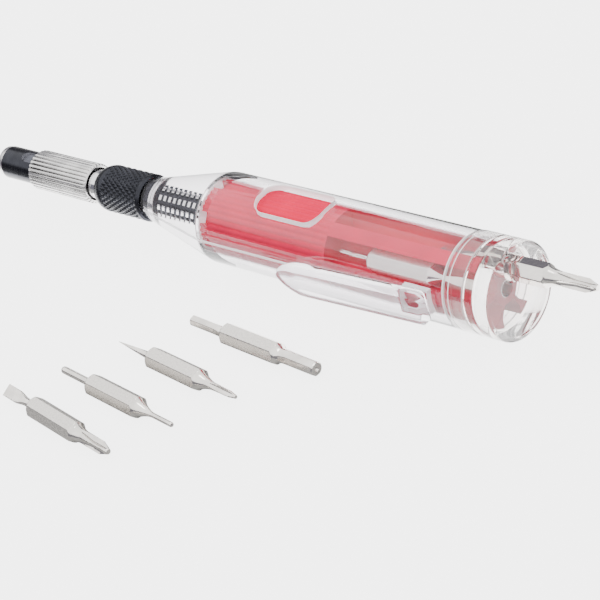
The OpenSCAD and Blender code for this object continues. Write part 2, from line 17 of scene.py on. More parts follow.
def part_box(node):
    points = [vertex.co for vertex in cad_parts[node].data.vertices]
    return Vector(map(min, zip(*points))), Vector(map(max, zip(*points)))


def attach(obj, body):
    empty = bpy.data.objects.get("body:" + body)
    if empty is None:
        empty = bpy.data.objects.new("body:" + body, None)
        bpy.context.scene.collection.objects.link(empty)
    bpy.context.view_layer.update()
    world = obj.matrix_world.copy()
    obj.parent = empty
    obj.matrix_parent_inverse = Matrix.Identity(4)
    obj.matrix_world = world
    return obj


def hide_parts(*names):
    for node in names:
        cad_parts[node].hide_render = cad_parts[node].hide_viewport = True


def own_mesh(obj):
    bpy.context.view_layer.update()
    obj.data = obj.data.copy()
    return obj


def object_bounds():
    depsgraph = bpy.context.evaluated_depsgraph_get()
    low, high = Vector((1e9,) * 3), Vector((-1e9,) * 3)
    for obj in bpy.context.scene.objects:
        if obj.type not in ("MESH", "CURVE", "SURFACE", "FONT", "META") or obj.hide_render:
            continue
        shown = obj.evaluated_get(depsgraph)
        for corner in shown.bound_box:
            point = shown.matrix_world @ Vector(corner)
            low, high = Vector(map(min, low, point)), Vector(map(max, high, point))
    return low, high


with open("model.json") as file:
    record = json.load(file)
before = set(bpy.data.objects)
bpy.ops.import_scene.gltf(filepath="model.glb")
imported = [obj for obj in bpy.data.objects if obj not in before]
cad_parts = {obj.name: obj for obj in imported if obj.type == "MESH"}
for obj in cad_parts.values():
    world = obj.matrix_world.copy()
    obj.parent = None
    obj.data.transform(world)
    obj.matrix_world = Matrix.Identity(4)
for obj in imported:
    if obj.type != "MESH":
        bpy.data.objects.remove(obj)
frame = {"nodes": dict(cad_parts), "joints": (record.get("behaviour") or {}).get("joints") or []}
CAD_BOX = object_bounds()

bl_info = {
    "name": "Pocket screwdriver",
    "version": (1, 0, 0),
    "blender": (4, 5, 0),
    "location": "3D View > Sidebar > Screwdriver",
    "description": "Builds the visible pieces of a clear pocket screwdriver round its frame",
    "category": "Object",
}

MM = 0.001
TAU = 2 * math.pi
TINY = 1e-6


# What the frame gives


def stations(node):
    """First station, last station and radius of a node about the axis, in millimetres."""
    low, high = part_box(node)
    return low.x / MM, high.x / MM, high.z / MM


def points_of(node):
    """Corners of a node's mesh, in millimetres."""
    return np.array([v.co for v in frame["nodes"][node].data.vertices]) / MM


def joint(name):
    """The record's entry for a joint."""
    return next(j for j in frame["joints"] if j["name"] == name)


NECK_X, LIP_X, HANDLE_R = stations("handle_shell")
CAP_X0, CAP_X1, CAP_R = stations("end_cap")
DRUM_X0, DRUM_X1, DRUM_R = stations("bit_drum")
SHANK_X0, SHANK_X1, SHANK_R = stations("drive_shank")
COLLAR_X0, COLLAR_X1, COLLAR_R = stations("shank_collar")
NUT_X0, NUT_X1, NUT_R = stations("chuck_nut")
RING_X0, RING_X1, FLANGE_R = stations("neck_ring")
SLEEVE_X0, SLEEVE_X1, SLEEVE_R = stations("grip_sleeve")
TUBE_X0, TUBE_X1, TUBE_R = stations("socket_tube")
LEAF_LOW, LEAF_HIGH = (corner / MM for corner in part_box("bit_leaf_spring"))
FLOOR_Z = CAD_BOX[0][2]

RUN_GAP = 0.3
FIT_GAP = 0.05
SEAT_GAP = 0.02
SEAM_X = CAP_X0 - RUN_GAP / 2
BORE_R = DRUM_R + RUN_GAP
BULKHEAD_X = DRUM_X0 - RUN_GAP
CAP_FLOOR_X = DRUM_X1 + RUN_GAP
SHOULDER_X = BULKHEAD_X + 1.1
NOSE_X = NUT_X1 + RUN_GAP
NOSE_R = 4.25
NOSE_SLOPE = (HANDLE_R - NOSE_R) / (SHOULDER_X - NOSE_X)
LIP_R = BORE_R + 0.6
PIVOT_R = 2.5
PIVOT_LEN = 5.0
STUB_R = 1.5
STUB_LEN = 3.4
RING_R = TUBE_R + FIT_GAP - RUN_GAP
THREAD_R = FLANGE_R + RUN_GAP - FIT_GAP
THREAD_DEPTH = 0.3
THREAD_PITCH = 0.8
KNURL_X0 = NOSE_X + 4.6
KNURL_R = 1.65
PILOT_R = 1.87
SLOT_COUNT = 6
HEX_AF = 4.0
SLOT_AF = 4.2
WINDOW_X = SHOULDER_X + 12.4
WINDOW_ANGLE = math.radians(101)
RIDGE_ANGLE = math.radians(18)
SKIN = 0.02
HAIR = 0.01
OVERRUN = 1.0
SPRING_WIRE = 0.45
SPRING_TURNS = 5

CLIP_AXIS = joint("clip_flex")["axis"]
CLIP_ANGLE = math.atan2(CLIP_AXIS[1], CLIP_AXIS[2])
CLIP_POINTS = points_of("pocket_clip") @ np.array(Matrix.Rotation(CLIP_ANGLE, 3, "X")).T
CLIP_X0 = CLIP_POINTS[:, 0].min()
CLIP_X1 = CLIP_POINTS[:, 0].max()
CLIP_REAR_GAP = 0.4
CLIP_FRONT_GAP = 1.8
FOOT_LEN = 5.6
FOOT_W = 4.4
FOOT_X1 = CLIP_X1 - 0.55
FOOT_PLAY = 0.15


def length_setting(name, text, millimetres):
    """A length that the sidebar can change."""
    return FloatProperty(name=name, description=text, default=millimetres * MM, min=0, unit="LENGTH")


def count_setting(name, text, value):
    """A number of like features that the sidebar can change."""
    return IntProperty(name=name, description=text, default=value, min=4)


def colour_setting(name, text, value):
    """A colour that the sidebar can change."""
    return FloatVectorProperty(
        name=name, description=text, default=value, size=3, min=0, max=1, subtype="COLOR",
    )


class ScrewdriverSizes(bpy.types.PropertyGroup):
    """Sizes of the finer shapes that the frame leaves plain."""

    edge: length_setting("Edge", "Rounding of moulded edges", 0.2)
    window_length: length_setting("Window length", "Thumb window along the handle", 16.4)
    window_width: length_setting("Window width", "Thumb window across the handle", 8.4)
    window_corner: length_setting("Window corner", "Corner radius of the thumb window", 3)
    ridge_width: length_setting("Ridge width", "Width of the moulding ridge along the handle", 0.6)
    ridge_height: length_setting("Ridge height", "Height of the moulding ridge", 0.15)
    rib_depth: length_setting("Rib depth", "Depth of the drum's thumb ribs", 0.25)
    rib_count: count_setting("Ribs", "Thumb ribs round the drum", 40)
    flute_depth: length_setting("Flute depth", "Depth of the sleeve's flutes", 0.4)
    flute_count: count_setting("Flutes", "Flutes round the sleeve", 30)
    knurl_depth: length_setting("Knurl depth", "Depth of the nut's diamond knurl", 0.32)
    knurl_count: count_setting("Knurl", "Diamonds round the nut", 30)
    dome_length: length_setting("Nut dome", "Length of the nut's smooth front", 3)
    clip_width: length_setting("Clip width", "Width of the pocket clip", 6.8)
    clip_thickness: length_setting("Clip thickness", "Thickness of the pocket clip", 2.2)
    clip_bevel: length_setting("Clip bevel", "Bevel along the clip's outer edges", 0.8)


class ScrewdriverColours(bpy.types.PropertyGroup):
    """Colours of the finishes."""

    clear: colour_setting("Clear plastic", "Tint of the handle and clip", (0.98, 0.955, 0.985))
    cap: colour_setting("Cap plastic", "Tint of the end cap", (0.975, 0.945, 0.925))
    frosted: colour_setting("Cut faces", "Matt faces of the clear plastic", (0.97, 0.96, 0.98))
    red: colour_setting("Red plastic", "Drum", (0.85, 0.012, 0.075))
    dark: colour_setting("Dark steel", "Tube, nut and shank", (0.035, 0.036, 0.043))
    nickel: colour_setting("Nickel", "Sleeve", (0.72, 0.71, 0.70))
    chrome: colour_setting("Chrome", "Neck ring and collar", (0.86, 0.86, 0.87))
    bits: colour_setting("Bit steel", "Bits", (0.82, 0.782, 0.735))
    floor: colour_setting("Floor", "Table under the screwdriver", (0.28, 0.28, 0.28))


def sizes():
    """The sizes that the sidebar holds."""
    return bpy.context.scene.screwdriver_sizes


def colours():
    """The colours that the sidebar holds."""
    return bpy.context.scene.screwdriver_colours


# Shapes


def direction(angle):
    """Unit vector across the axis at an angle about it."""
    return Vector((0, -math.cos(angle), math.sin(angle)))


def at_angle(angle):
    """Turns what is drawn on the -Y side to an angle about the axis."""
    return Matrix.Rotation(-angle, 4, "X")


def filleted(corners, segments=5):
    """Closed outline from (station, radius, rounding) corners, with an arc at each rounded one."""
    outline = []
    count = len(corners)
    most = 0.49
    for i, (x, r, rounding) in enumerate(corners):
        here = Vector((x, r))
        back = Vector(corners[i - 1][:2]) - here
        ahead = Vector(corners[(i + 1) % count][:2]) - here
        if not rounding or back.length * ahead.length == 0:
            outline.append((x, r))
            continue
        half = back.angle(ahead) / 2
        reach = min(rounding / math.tan(half), most * back.length, most * ahead.length)
        radius = reach * math.tan(half)
        middle = here + (back.normalized() + ahead.normalized()).normalized() * (radius / math.sin(half))
        start = here + back.normalized() * reach - middle
        turn = start.angle_signed(here + ahead.normalized() * reach - middle)
        for k in range(segments + 1):
            arm = start.copy()
            arm.rotate(Matrix.Rotation(-turn * k / segments, 2))
            outline.append(tuple(middle + arm))
    return outline


def spread(x0, x1, r, step):
    """Points of a straight stretch of an outline, close enough to carry a relief."""
    count = max(2, round(abs(x1 - x0) / step) + 1)
    return [(x0 + (x1 - x0) * k / (count - 1), r) for k in range(count)]


def mesh_object(name, bm):
    """Object from a bmesh that is drawn in millimetres; its faces look outwards."""
    bmesh.ops.recalc_face_normals(bm, faces=bm.faces)
    mesh = bpy.data.meshes.new(name)
    bm.to_mesh(mesh)
    bm.free()
    obj = bpy.data.objects.new(name, mesh)
    bpy.context.scene.collection.objects.link(obj)
    return obj


def lathe(name, outline, steps=160, relief=None):
    """Solid turned about the axis from a closed outline; relief(x, r, angle) is the depth cut at a place."""
    bm = bmesh.new()
    rings = []
    for x, r in outline:
        if r < TINY:
            rings.append([bm.verts.new((x, 0, 0))] * steps)
            continue
        ring = []
        for k in range(steps):
            angle = TAU * k / steps
            depth = relief(x, r, angle) if relief else 0
            ring.append(bm.verts.new(Vector((x, 0, 0)) + (r - depth) * direction(angle)))
        rings.append(ring)
    for i, ring in enumerate(rings):
        after = rings[(i + 1) % len(rings)]
        for k in range(steps):
            corners = dict.fromkeys((ring[k - 1], ring[k], after[k], after[k - 1]))
            if len(corners) > 2:
                bm.faces.new(corners)
    return mesh_object(name, bm)


def loft(name, rings):
    """Closed solid through rings that have the same number of points."""
    bm = bmesh.new()
    rows = [[bm.verts.new(p) for p in ring] for ring in rings]
    for row, after in zip(rows, rows[1:]):
        for k in range(len(row)):
            bm.faces.new((row[k - 1], row[k], after[k], after[k - 1]))
    bm.faces.new(rows[0])
    bm.faces.new(rows[-1])
    return mesh_object(name, bm)


def block(name, low, high):
    """Box between two corners, for cutting or joining."""
    rings = []
    for x in (low[0], high[0]):
        rings.append([(x, low[1], low[2]), (x, high[1], low[2]), (x, high[1], high[2]), (x, low[1], high[2])])
    return loft(name, rings)


def rounded_rectangle(length, width, corner, segments=8):
    """Points of a rectangle with round corners, centred on the origin."""
    points = []
    for quarter, (sx, sy) in enumerate(((1, 1), (-1, 1), (-1, -1), (1, -1))):
        cx = sx * (length / 2 - corner)
        cy = sy * (width / 2 - corner)
        for k in range(segments + 1):
            angle = TAU / 4 * (quarter + k / segments)
            points.append((cx + corner * math.cos(angle), cy + corner * math.sin(angle)))
    return points


def polygon(radius, count):
    """Evenly spaced points on a circle about the origin."""
    return [(radius * math.cos(TAU * k / count), radius * math.sin(TAU * k / count)) for k in range(count)]


def boolean(obj, others, operation):
    """Joins other objects to a solid or cuts them from it, and takes the others away."""
    for other in others:
        step = obj.modifiers.new(operation, "BOOLEAN")
        step.operation = operation
        step.solver = "EXACT"
        step.object = other
        evaluated = obj.evaluated_get(bpy.context.evaluated_depsgraph_get())
        mesh = bpy.data.meshes.new_from_object(evaluated)
        if not mesh.polygons:
            raise RuntimeError(f"{obj.name}: nothing is left after {other.name}")
        obj.modifiers.remove(step)
        old = obj.data
        obj.data = mesh
        bpy.data.meshes.remove(old)
        bpy.data.meshes.remove(other.data)
    return obj


def complete(obj, body, node, finishes, pick=None, smooth=30, place=None):
    """Gives a piece its finishes, turns it into metres and puts it on its body.

    pick says which finish a face has, and place lays the piece where its node is.
    """
    mesh = obj.data
    mesh.materials.clear()
    for finish in finishes:
        mesh.materials.append(finish)
    if pick:
        for face in mesh.polygons:
            face.material_index = pick(face.center, face.normal)
    if place:
        mesh.transform(place)
    mesh.transform(Matrix.Scale(MM, 4))
    mesh.polygons.foreach_set("use_smooth", [True] * len(mesh.polygons))
    mesh.set_sharp_from_angle(angle=math.radians(smooth))
    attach(obj, body)
    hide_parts(node)
    return obj


def from_axis(point):
    """Distance of a point from the axis."""
    return math.hypot(point.y, point.z)


# Finishes


class Finish:
    """A material with one surface shader, and short words for adding nodes to it."""

    def __init__(self, name, **settings):
        self.material = bpy.data.materials.new(name)
        self.material.use_nodes = True
        self.tree = self.material.node_tree
        self.shader = self.tree.nodes["Principled BSDF"]
        for key, value in settings.items():
            self.shader.inputs[key.replace("_", " ").title().replace("Ior", "IOR")].default_value = value
        self.place = self.node("ShaderNodeTexCoord").outputs["Object"]

    def node(self, kind, **inputs):
        """New node whose inputs are sockets to link or values to set."""
        made = self.tree.nodes.new(kind)
        for key, value in inputs.items():
            socket = made.inputs[key.replace("_", " ").title()]
            if isinstance(value, bpy.types.NodeSocket):
                self.tree.links.new(value, socket)
            else:
                socket.default_value = value
        return made

    def link(self, source, name):
        """Joins a socket to one of the shader's inputs."""
        self.tree.links.new(source, self.shader.inputs[name])

    def maths(self, operation, first, second=0.0):
        """Result of a Math node on numbers or sockets."""
        made = self.tree.nodes.new("ShaderNodeMath")
        made.operation = operation
        for socket, value in zip(made.inputs, (first, second)):
            if isinstance(value, bpy.types.NodeSocket):
                self.tree.links.new(value, socket)
            else:
                socket.default_value = value
        return made.outputs[0]

    def stretched(self, scale):
        """Object coordinates scaled along each axis, so that a pattern runs along the piece."""
        return self.node("ShaderNodeMapping", vector=self.place, scale=scale).outputs["Vector"]

    def noise(self, vector, scale, detail=3.0, roughness=0.5):
        """Cloudy pattern from 0 to 1."""
        made = self.node("ShaderNodeTexNoise", vector=vector, scale=scale, detail=detail, roughness=roughness)
        return made.outputs["Fac"]

    def ramp(self, value, low, high, start=0.35, end=0.65):
        """Numbers or colours from low to high as a pattern goes from start to end."""
        made = self.node("ShaderNodeValToRGB", fac=value)
        for stop, at, tone in zip(made.color_ramp.elements, (start, end), (low, high)):
            stop.position = at
            stop.color = (*tone, 1) if isinstance(tone, (tuple, list)) else (tone, tone, tone, 1)
        return made.outputs["Color"]

    def bump(self, height, strength, distance):
        """Raises the surface by a pattern, up to a distance."""
        made = self.node("ShaderNodeBump", height=height, strength=strength, distance=distance)
        self.link(made.outputs["Normal"], "Normal")


WHITE = (1, 1, 1, 1)
PLASTIC_IOR = 1.5
NOSE_PLASTIC = {"bend": PLASTIC_IOR, "clear": 0.97, "gloss": 0.0}
WALL_PLASTIC = {"bend": 1.05, "clear": 1.0, "gloss": 0.88}
CLIP_PLASTIC = {"bend": 1.12, "clear": 0.98, "gloss": 0.5}
CAP_PLASTIC = {"bend": 1.24, "clear": 0.985, "gloss": 0.5}
CUT_CLEAR = 0.25
# Strength of the painted white glow on the matt cut faces, which are no lamp.
CUT_PAINTED_GLOW = 0.45
# Share of the tint at a slant: painted shade that darkens the clear plastic's edges.
EDGE_SHADE = 0.38
EDGE_SLANT = (0.4, 0.96)
FLOW_LINES = (60.0, 700.0, 700.0)
FLOW_ROUGHNESS = (0.012, 0.05)
TURNED = (5200.0, 240.0, 240.0)
DRAWN = (260.0, 3200.0, 3200.0)
TUMBLED = (2600.0, 2600.0, 2600.0)
SPRING_TINT = (0.5, 0.5, 0.51)


def shade(rgb, share):
    """A colour made darker or lighter by a share."""
    return tuple(min(1.0, c * share) for c in rgb)


def clear_finish(name, tint, bend, clear, gloss):
    """Clear plastic with faint flow lines, and a darker tint where it is seen at a slant: painted shade that
    outlines its edges, on top of the deeper tint of a longer path.

    bend is its index of refraction, clear the share of light that it lets through,
    and gloss the weight of its coat.
    """
    finish = Finish(name, transmission_weight=clear, ior=bend, coat_weight=gloss)
    # Layer Weight darkens the base colour at a slant: painted shade along the edges, partly the deeper tint
    # of a longer path.
    slant = finish.node("ShaderNodeLayerWeight").outputs["Facing"]
    finish.link(finish.ramp(slant, tuple(tint), shade(tint, EDGE_SHADE), *EDGE_SLANT), "Base Color")
    flow = finish.noise(finish.stretched(FLOW_LINES), 1.0, 4.0)
    finish.link(finish.ramp(flow, *FLOW_ROUGHNESS), "Roughness")
    finish.bump(flow, 0.05, 0.02 * MM)
    return finish.material


def frosted_finish(name):
    """Matt face of the clear plastic, as the mould's cut or a seam leaves it, lit up by a painted white glow.
    """
    # Painted glow: the emission makes the matt faces, the moulding ridge and the seam lines read white.
    painted_glow = {"emission_color": WHITE, "emission_strength": CUT_PAINTED_GLOW}
    finish = Finish(name, transmission_weight=CUT_CLEAR, ior=PLASTIC_IOR, **painted_glow)
    grain = finish.noise(finish.place, 1800.0, 3.0)
    tint = tuple(colours().frosted)
    finish.link(finish.ramp(grain, shade(tint, 0.95), tint), "Base Color")
    finish.link(finish.ramp(grain, 0.4, 0.6), "Roughness")
    finish.bump(grain, 0.15, 0.03 * MM)
    return finish.material


def red_finish(name, tint):
    """Red moulded plastic with a soft sheen and a slight grain."""
    finish = Finish(name, specular_ior_level=0.06)
    cloud = finish.noise(finish.place, 160.0)
    grain = finish.noise(finish.place, 2600.0, 2.0)
    finish.link(finish.ramp(cloud, shade(tint, 0.92), shade(tint, 1.06)), "Base Color")
    finish.link(finish.ramp(grain, 0.5, 0.62), "Roughness")
    finish.bump(grain, 0.12, 0.03 * MM)
    return finish.material


def metal_finish(name, tint, rough, lines, depth, wear_and_painted_light=(0.88, 1.2), patch=300.0):
    """Metal with tool marks.

    lines gives the scale of the marks along each axis, and wear_and_painted_light the shades of the metal's
    patches, which can also lift the whole metal as painted light.
    """
    finish = Finish(name, metallic=1.0)
    marks = finish.noise(finish.stretched(lines), 1.0, 4.0, 0.6)
    cloud = finish.noise(finish.place, patch)
    finish.link(finish.ramp(cloud, shade(tint, wear_and_painted_light[0]), shade(tint, wear_and_painted_light[1])), "Base Color")
    finish.link(finish.ramp(marks, *rough), "Roughness")
    finish.bump(marks, 0.2, depth)
    return finish.material


# Clear and red plastic


def handle_shell():
    """Clear handle: threaded neck, solid nose, hollow body with a thumb window, and the lip for the cap."""
    edge = sizes().edge / MM
    crest = 0.04
    thread = []
    for i in range(int((NOSE_X - NECK_X) / THREAD_PITCH)):
        x = NECK_X + i * THREAD_PITCH
        thread += [
            (x, THREAD_R - THREAD_DEPTH, 0),
            (x + 0.25 * THREAD_PITCH, THREAD_R, crest),
            (x + 0.5 * THREAD_PITCH, THREAD_R, crest),
            (x + 0.75 * THREAD_PITCH, THREAD_R - THREAD_DEPTH, crest),
        ]
    shoulder_round = 6
    corners = [(NECK_X, 0, 0)] + thread + [
        (NOSE_X, THREAD_R - THREAD_DEPTH, edge),
        (NOSE_X, NOSE_R, edge),
        (SHOULDER_X, HANDLE_R, shoulder_round),
        (SEAM_X, HANDLE_R, edge),
        (SEAM_X, LIP_R, edge / 2),
        (LIP_X, LIP_R, edge),
        (LIP_X, BORE_R, edge),
        (BULKHEAD_X, BORE_R, 2 * edge),
        (BULKHEAD_X, PIVOT_R, 2 * edge),
        (BULKHEAD_X + PIVOT_LEN, PIVOT_R, edge),
        (BULKHEAD_X + PIVOT_LEN, 0, 0),
    ]
    shell = lathe("clear_handle", filleted(corners), steps=192)
    boolean(shell, [moulding_ridge()], "UNION")
    boolean(shell, [window_cutter(), clip_slot_cutter()], "DIFFERENCE")
    nose, cut_face, wall = range(3)
    slanted, rearward, bulkhead_reach, shoulder_reach = 0.8, 0.3, 0.5, 1

    def pick(centre, normal):
        r = from_axis(centre)
        outside = min(HANDLE_R, NOSE_R + NOSE_SLOPE * (centre.x - NOSE_X))
        facing = abs(normal.y * centre.y + normal.z * centre.z) / r if r else 0
        ridge = centre.x > NOSE_X and r > outside + SKIN
        behind = centre.x > SHOULDER_X + shoulder_reach
        rim = behind and BORE_R + SKIN < r < HANDLE_R - SKIN and facing < slanted
        at_bulkhead = abs(centre.x - BULKHEAD_X) < bulkhead_reach and normal.x > rearward
        bulkhead = at_bulkhead and PIVOT_R < r < BORE_R
        if ridge or rim or bulkhead:
            return cut_face
        return wall if centre.x > SHOULDER_X else nose

    # The ridge, the window's rim and the bulkhead take the frosted finish with its painted white glow.
    finishes = [
        clear_finish("clear_plastic", colours().clear, **NOSE_PLASTIC),
        frosted_finish("clear_plastic_cut_faces_painted_glow"),
        clear_finish("clear_plastic_wall", colours().clear, **WALL_PLASTIC),
    ]
    complete(shell, "handle", "handle_shell", finishes, pick)


def moulding_ridge():
    """Fine ridge that the mould leaves along the nose and the handle, up to the clip."""
    s = sizes()
    half, height = s.ridge_width / MM / 2, s.ridge_height / MM
    sunk, front_gap, bend, under_clip = 0.4, 1, 0.6, 2
    section = [(-half, -sunk)]
    section += [(-half * math.cos(TAU / 2 * k / 8), height * math.sin(TAU / 2 * k / 8)) for k in range(9)]
    section += [(half, -sunk)]
    start = NOSE_X + front_gap
    route = [(start, NOSE_R + NOSE_SLOPE * (start - NOSE_X))]
    route += [(SHOULDER_X - bend, HANDLE_R - NOSE_SLOPE * bend), (SHOULDER_X + bend, HANDLE_R)]
    route += [(CLIP_X0 + under_clip, HANDLE_R)]
    along = Vector((0, math.sin(RIDGE_ANGLE), math.cos(RIDGE_ANGLE)))
    rings = []
    for x, r in route:
        foot = Vector((x, 0, 0)) + (r - SKIN) * direction(RIDGE_ANGLE)
        rings.append([foot + across * along + rise * direction(RIDGE_ANGLE) for across, rise in section])
    return loft("moulding_ridge", rings)


def window_cutter():
    """Block that cuts the thumb window and rounds its rims on the inside and outside of the handle."""
    s = sizes()
    rim_share = 1.4
    edge = rim_share * s.edge / MM
    quarter = [TAU / 4 * k / 4 for k in range(5)]
    levels = [(BORE_R - OVERRUN, edge)]
    levels += [(BORE_R + edge * (1 - math.cos(a)), edge * (1 - math.sin(a))) for a in quarter]
    levels += [(HANDLE_R - edge * (1 - math.sin(a)), edge * (1 - math.cos(a))) for a in quarter]
    levels += [(HANDLE_R + OVERRUN, edge)]
    length, width, corner = s.window_length / MM, s.window_width / MM, s.window_corner / MM
    middle = WINDOW_X + length / 2
    rings = []
    for radius, grow in levels:
        outline = rounded_rectangle(length + 2 * grow, width + 2 * grow, corner + grow)
        rings.append([(middle + x, -math.sqrt(radius**2 - y**2), y) for x, y in outline])
    cutter = loft("window_cutter", rings)
    cutter.data.transform(at_angle(WINDOW_ANGLE))
    return cutter


def clip_slot_cutter():
    """Block that cuts the slot for the clip's foot."""
    half = FOOT_W / 2 + FOOT_PLAY
    cutter = block(
        "clip_slot_cutter",
        (FOOT_X1 - FOOT_LEN - FOOT_PLAY, -HANDLE_R - OVERRUN, -half),
        (FOOT_X1 + FOOT_PLAY, -BORE_R / 2, half),
    )
    cutter.data.transform(at_angle(CLIP_ANGLE))
    return cutter


def pocket_clip():
    """Clear clip: a bevelled plate that rises to a rounded point, on a foot through the handle's wall."""
    s = sizes()
    width, full = s.clip_width / MM, s.clip_thickness / MM
    nose, thin_nose, thin_share = 8.0, 6.0, 0.5
    rear_round, end_round, soft = 1.2, 0.5, 0.15
    bevel_most, inner_lift = 0.4, 0.3
    xs = [CLIP_X0 + nose * (1 - math.cos(TAU / 4 * k / 16)) for k in range(1, 17)]
    xs += [xs[-1] + (CLIP_X1 - rear_round - xs[-1]) * k / 12 for k in range(1, 13)]
    xs += [CLIP_X1 - rear_round + rear_round * math.sin(TAU / 4 * k / 8) for k in range(1, 9)]
    rings = []
    for x in xs:
        along = (x - CLIP_X0) / (CLIP_X1 - CLIP_X0)
        inner = HANDLE_R + CLIP_FRONT_GAP + (CLIP_REAR_GAP - CLIP_FRONT_GAP) * along
        half = width / 2
        if x < CLIP_X0 + nose:
            half *= math.sqrt(1 - ((CLIP_X0 + nose - x) / nose) ** 2)
        if x > CLIP_X1 - rear_round:
            half -= rear_round - math.sqrt(max(0.0, rear_round**2 - (x - CLIP_X1 + rear_round) ** 2))
        thickness = full * min(1, thin_share + (1 - thin_share) * (x - CLIP_X0) / thin_nose)
        lift = 0.0
        if x > CLIP_X1 - end_round:
            lift = end_round - math.sqrt(max(0.0, end_round**2 - (x - CLIP_X1 + end_round) ** 2))
        bevel = min(s.clip_bevel / MM, bevel_most * half, bevel_most * thickness)
        low, high = inner + inner_lift * lift, inner + thickness - lift
        corners = [
            (high, half - bevel, soft),
            (high - bevel, half, soft),
            (low, half, soft),
            (low, -half, soft),
            (high - bevel, -half, soft),
            (high, bevel - half, soft),
        ]
        rings.append([(x, -r, t) for r, t in filleted(corners, segments=3)])
    clip = loft("clear_clip", rings)
    foot = block(
        "clip_foot",
        (FOOT_X1 - FOOT_LEN, -HANDLE_R - CLIP_REAR_GAP - full / 2, -FOOT_W / 2),
        (FOOT_X1, -BORE_R - 2 * FIT_GAP, FOOT_W / 2),
    )
    boolean(clip, [foot], "UNION")
    plastic = clear_finish("clip_plastic", colours().clear, **CLIP_PLASTIC)
    complete(clip, "clip", "pocket_clip", [plastic], place=at_angle(CLIP_ANGLE))


def bit_circle():
    """Distance from the axis of the bits in the drum, and the angle of the one in the cap's hole."""
    low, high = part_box("dispensed_bit")
    middle = (low + high) / 2 / MM
    return math.hypot(middle.y, middle.z), math.atan2(middle.z, -middle.y)


def end_cap():
    """Clear cap: a skirt over the handle's lip, an end wall with a hole for a bit, and the drum's stub."""
    edge = sizes().edge / MM
    skirt_r = LIP_R + FIT_GAP
    step_x = LIP_X + RUN_GAP
    rim, dish, line_x, line_depth = 0.75, 0.2, CAP_X0 + 1.3, 0.1
    rear_round, hole_play, forward = 1.0, 0.1, 0.3
    corners = [
        (CAP_X0, skirt_r, edge / 2),
        (CAP_X0, CAP_R, edge),
        (line_x - line_depth, CAP_R, 0),
        (line_x, CAP_R - line_depth, 0),
        (line_x + line_depth, CAP_R, 0),
        (CAP_X1, CAP_R, rear_round),
        (CAP_X1, CAP_R - rim, edge / 2),
        (CAP_X1 - dish, CAP_R - rim - dish, edge / 2),
        (CAP_X1 - dish, 0, 0),
        (CAP_FLOOR_X - STUB_LEN, 0, 0),
        (CAP_FLOOR_X - STUB_LEN, STUB_R, edge),
        (CAP_FLOOR_X, STUB_R, edge),
        (CAP_FLOOR_X, BORE_R, 2 * edge),
        (step_x, BORE_R, edge / 2),
        (step_x, skirt_r, edge / 2),
    ]
    cap = lathe("clear_cap", filleted(corners), steps=192)
    circle, angle = bit_circle()
    hole_r = HEX_AF / math.sqrt(3) + hole_play
    flare = 1.5 * edge
    hole_corners = [
        (CAP_FLOOR_X - OVERRUN, 0, 0),
        (CAP_FLOOR_X - OVERRUN, hole_r, 0),
        (CAP_X1 - dish - flare, hole_r, flare),
        (CAP_X1 - dish, hole_r + flare, 0),
        (CAP_X1 + OVERRUN, hole_r + flare, 0),
        (CAP_X1 + OVERRUN, 0, 0),
    ]
    hole = lathe("bit_hole_cutter", filleted(hole_corners), steps=64)
    hole.data.transform(Matrix.Translation(circle * direction(angle)))
    boolean(cap, [hole], "DIFFERENCE")

    def pick(centre, normal):
        seam = centre.x < CAP_X0 + edge and normal.x < -forward
        line = abs(centre.x - line_x) < line_depth and from_axis(centre) > CAP_R - line_depth
        return 1 if seam or line else 0

    # The seam and the ring line take the frosted finish with its painted white glow.
    plastic = clear_finish("cap_plastic", colours().cap, **CAP_PLASTIC)
    finishes = [plastic, frosted_finish("cap_plastic_cut_faces_painted_glow")]
    complete(cap, "cap", "end_cap", finishes, pick)


def bit_drum():
    """Red drum: thumb ribs and detent notches at the front, open bit slots at the rear."""
    s = sizes()
    edge = s.edge / MM
    depth, count = s.rib_depth / MM, s.rib_count
    step, sides = 6, 8
    slot_low = min(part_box("stored_bit")[0].x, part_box("dispensed_bit")[0].x) / MM - RUN_GAP
    rib_end = slot_low - RUN_GAP

    def ribs(x, r, angle):
        if r < DRUM_R - depth or x > rib_end:
            return 0
        wave = 0.5 - 0.5 * math.cos(angle * count)
        return depth * wave**2

    outline = [(DRUM_X0, PIVOT_R + FIT_GAP), (DRUM_X0, DRUM_R - edge)]
    outline += spread(DRUM_X0 + edge, rib_end, DRUM_R, step)
    outline += [(rib_end + SKIN, DRUM_R), (DRUM_X1 - edge, DRUM_R), (DRUM_X1, DRUM_R - edge)]
    outline += [(DRUM_X1, STUB_R + FIT_GAP), (DRUM_X1 - STUB_LEN - RUN_GAP, STUB_R + FIT_GAP)]
    outline += [(DRUM_X1 - STUB_LEN - RUN_GAP, 0), (DRUM_X0 + PIVOT_LEN, 0)]
    outline += [(DRUM_X0 + PIVOT_LEN, PIVOT_R + FIT_GAP)]
    drum = lathe("red_drum", outline, sides * count, ribs)
    circle, angle = bit_circle()
    notch_w, notch_depth, notch_len = 2.4, 1.8, 2.4
    cutters = []
    for i in range(SLOT_COUNT):
        slot = slot_cutter(slot_low, DRUM_X1 + OVERRUN, circle)
        notch = block(
            "notch_cutter",
            (DRUM_X0 - OVERRUN, -DRUM_R - OVERRUN, -notch_w / 2),
            (DRUM_X0 + notch_len, notch_depth - DRUM_R, notch_w / 2),
        )
        for cutter in (slot, notch):
            cutter.data.transform(at_angle(angle + TAU * i / SLOT_COUNT))
            cutters.append(cutter)
    boolean(drum, cutters, "DIFFERENCE")
    complete(drum, "drum", "bit_drum", [red_finish("red_plastic", colours().red)], smooth=20)


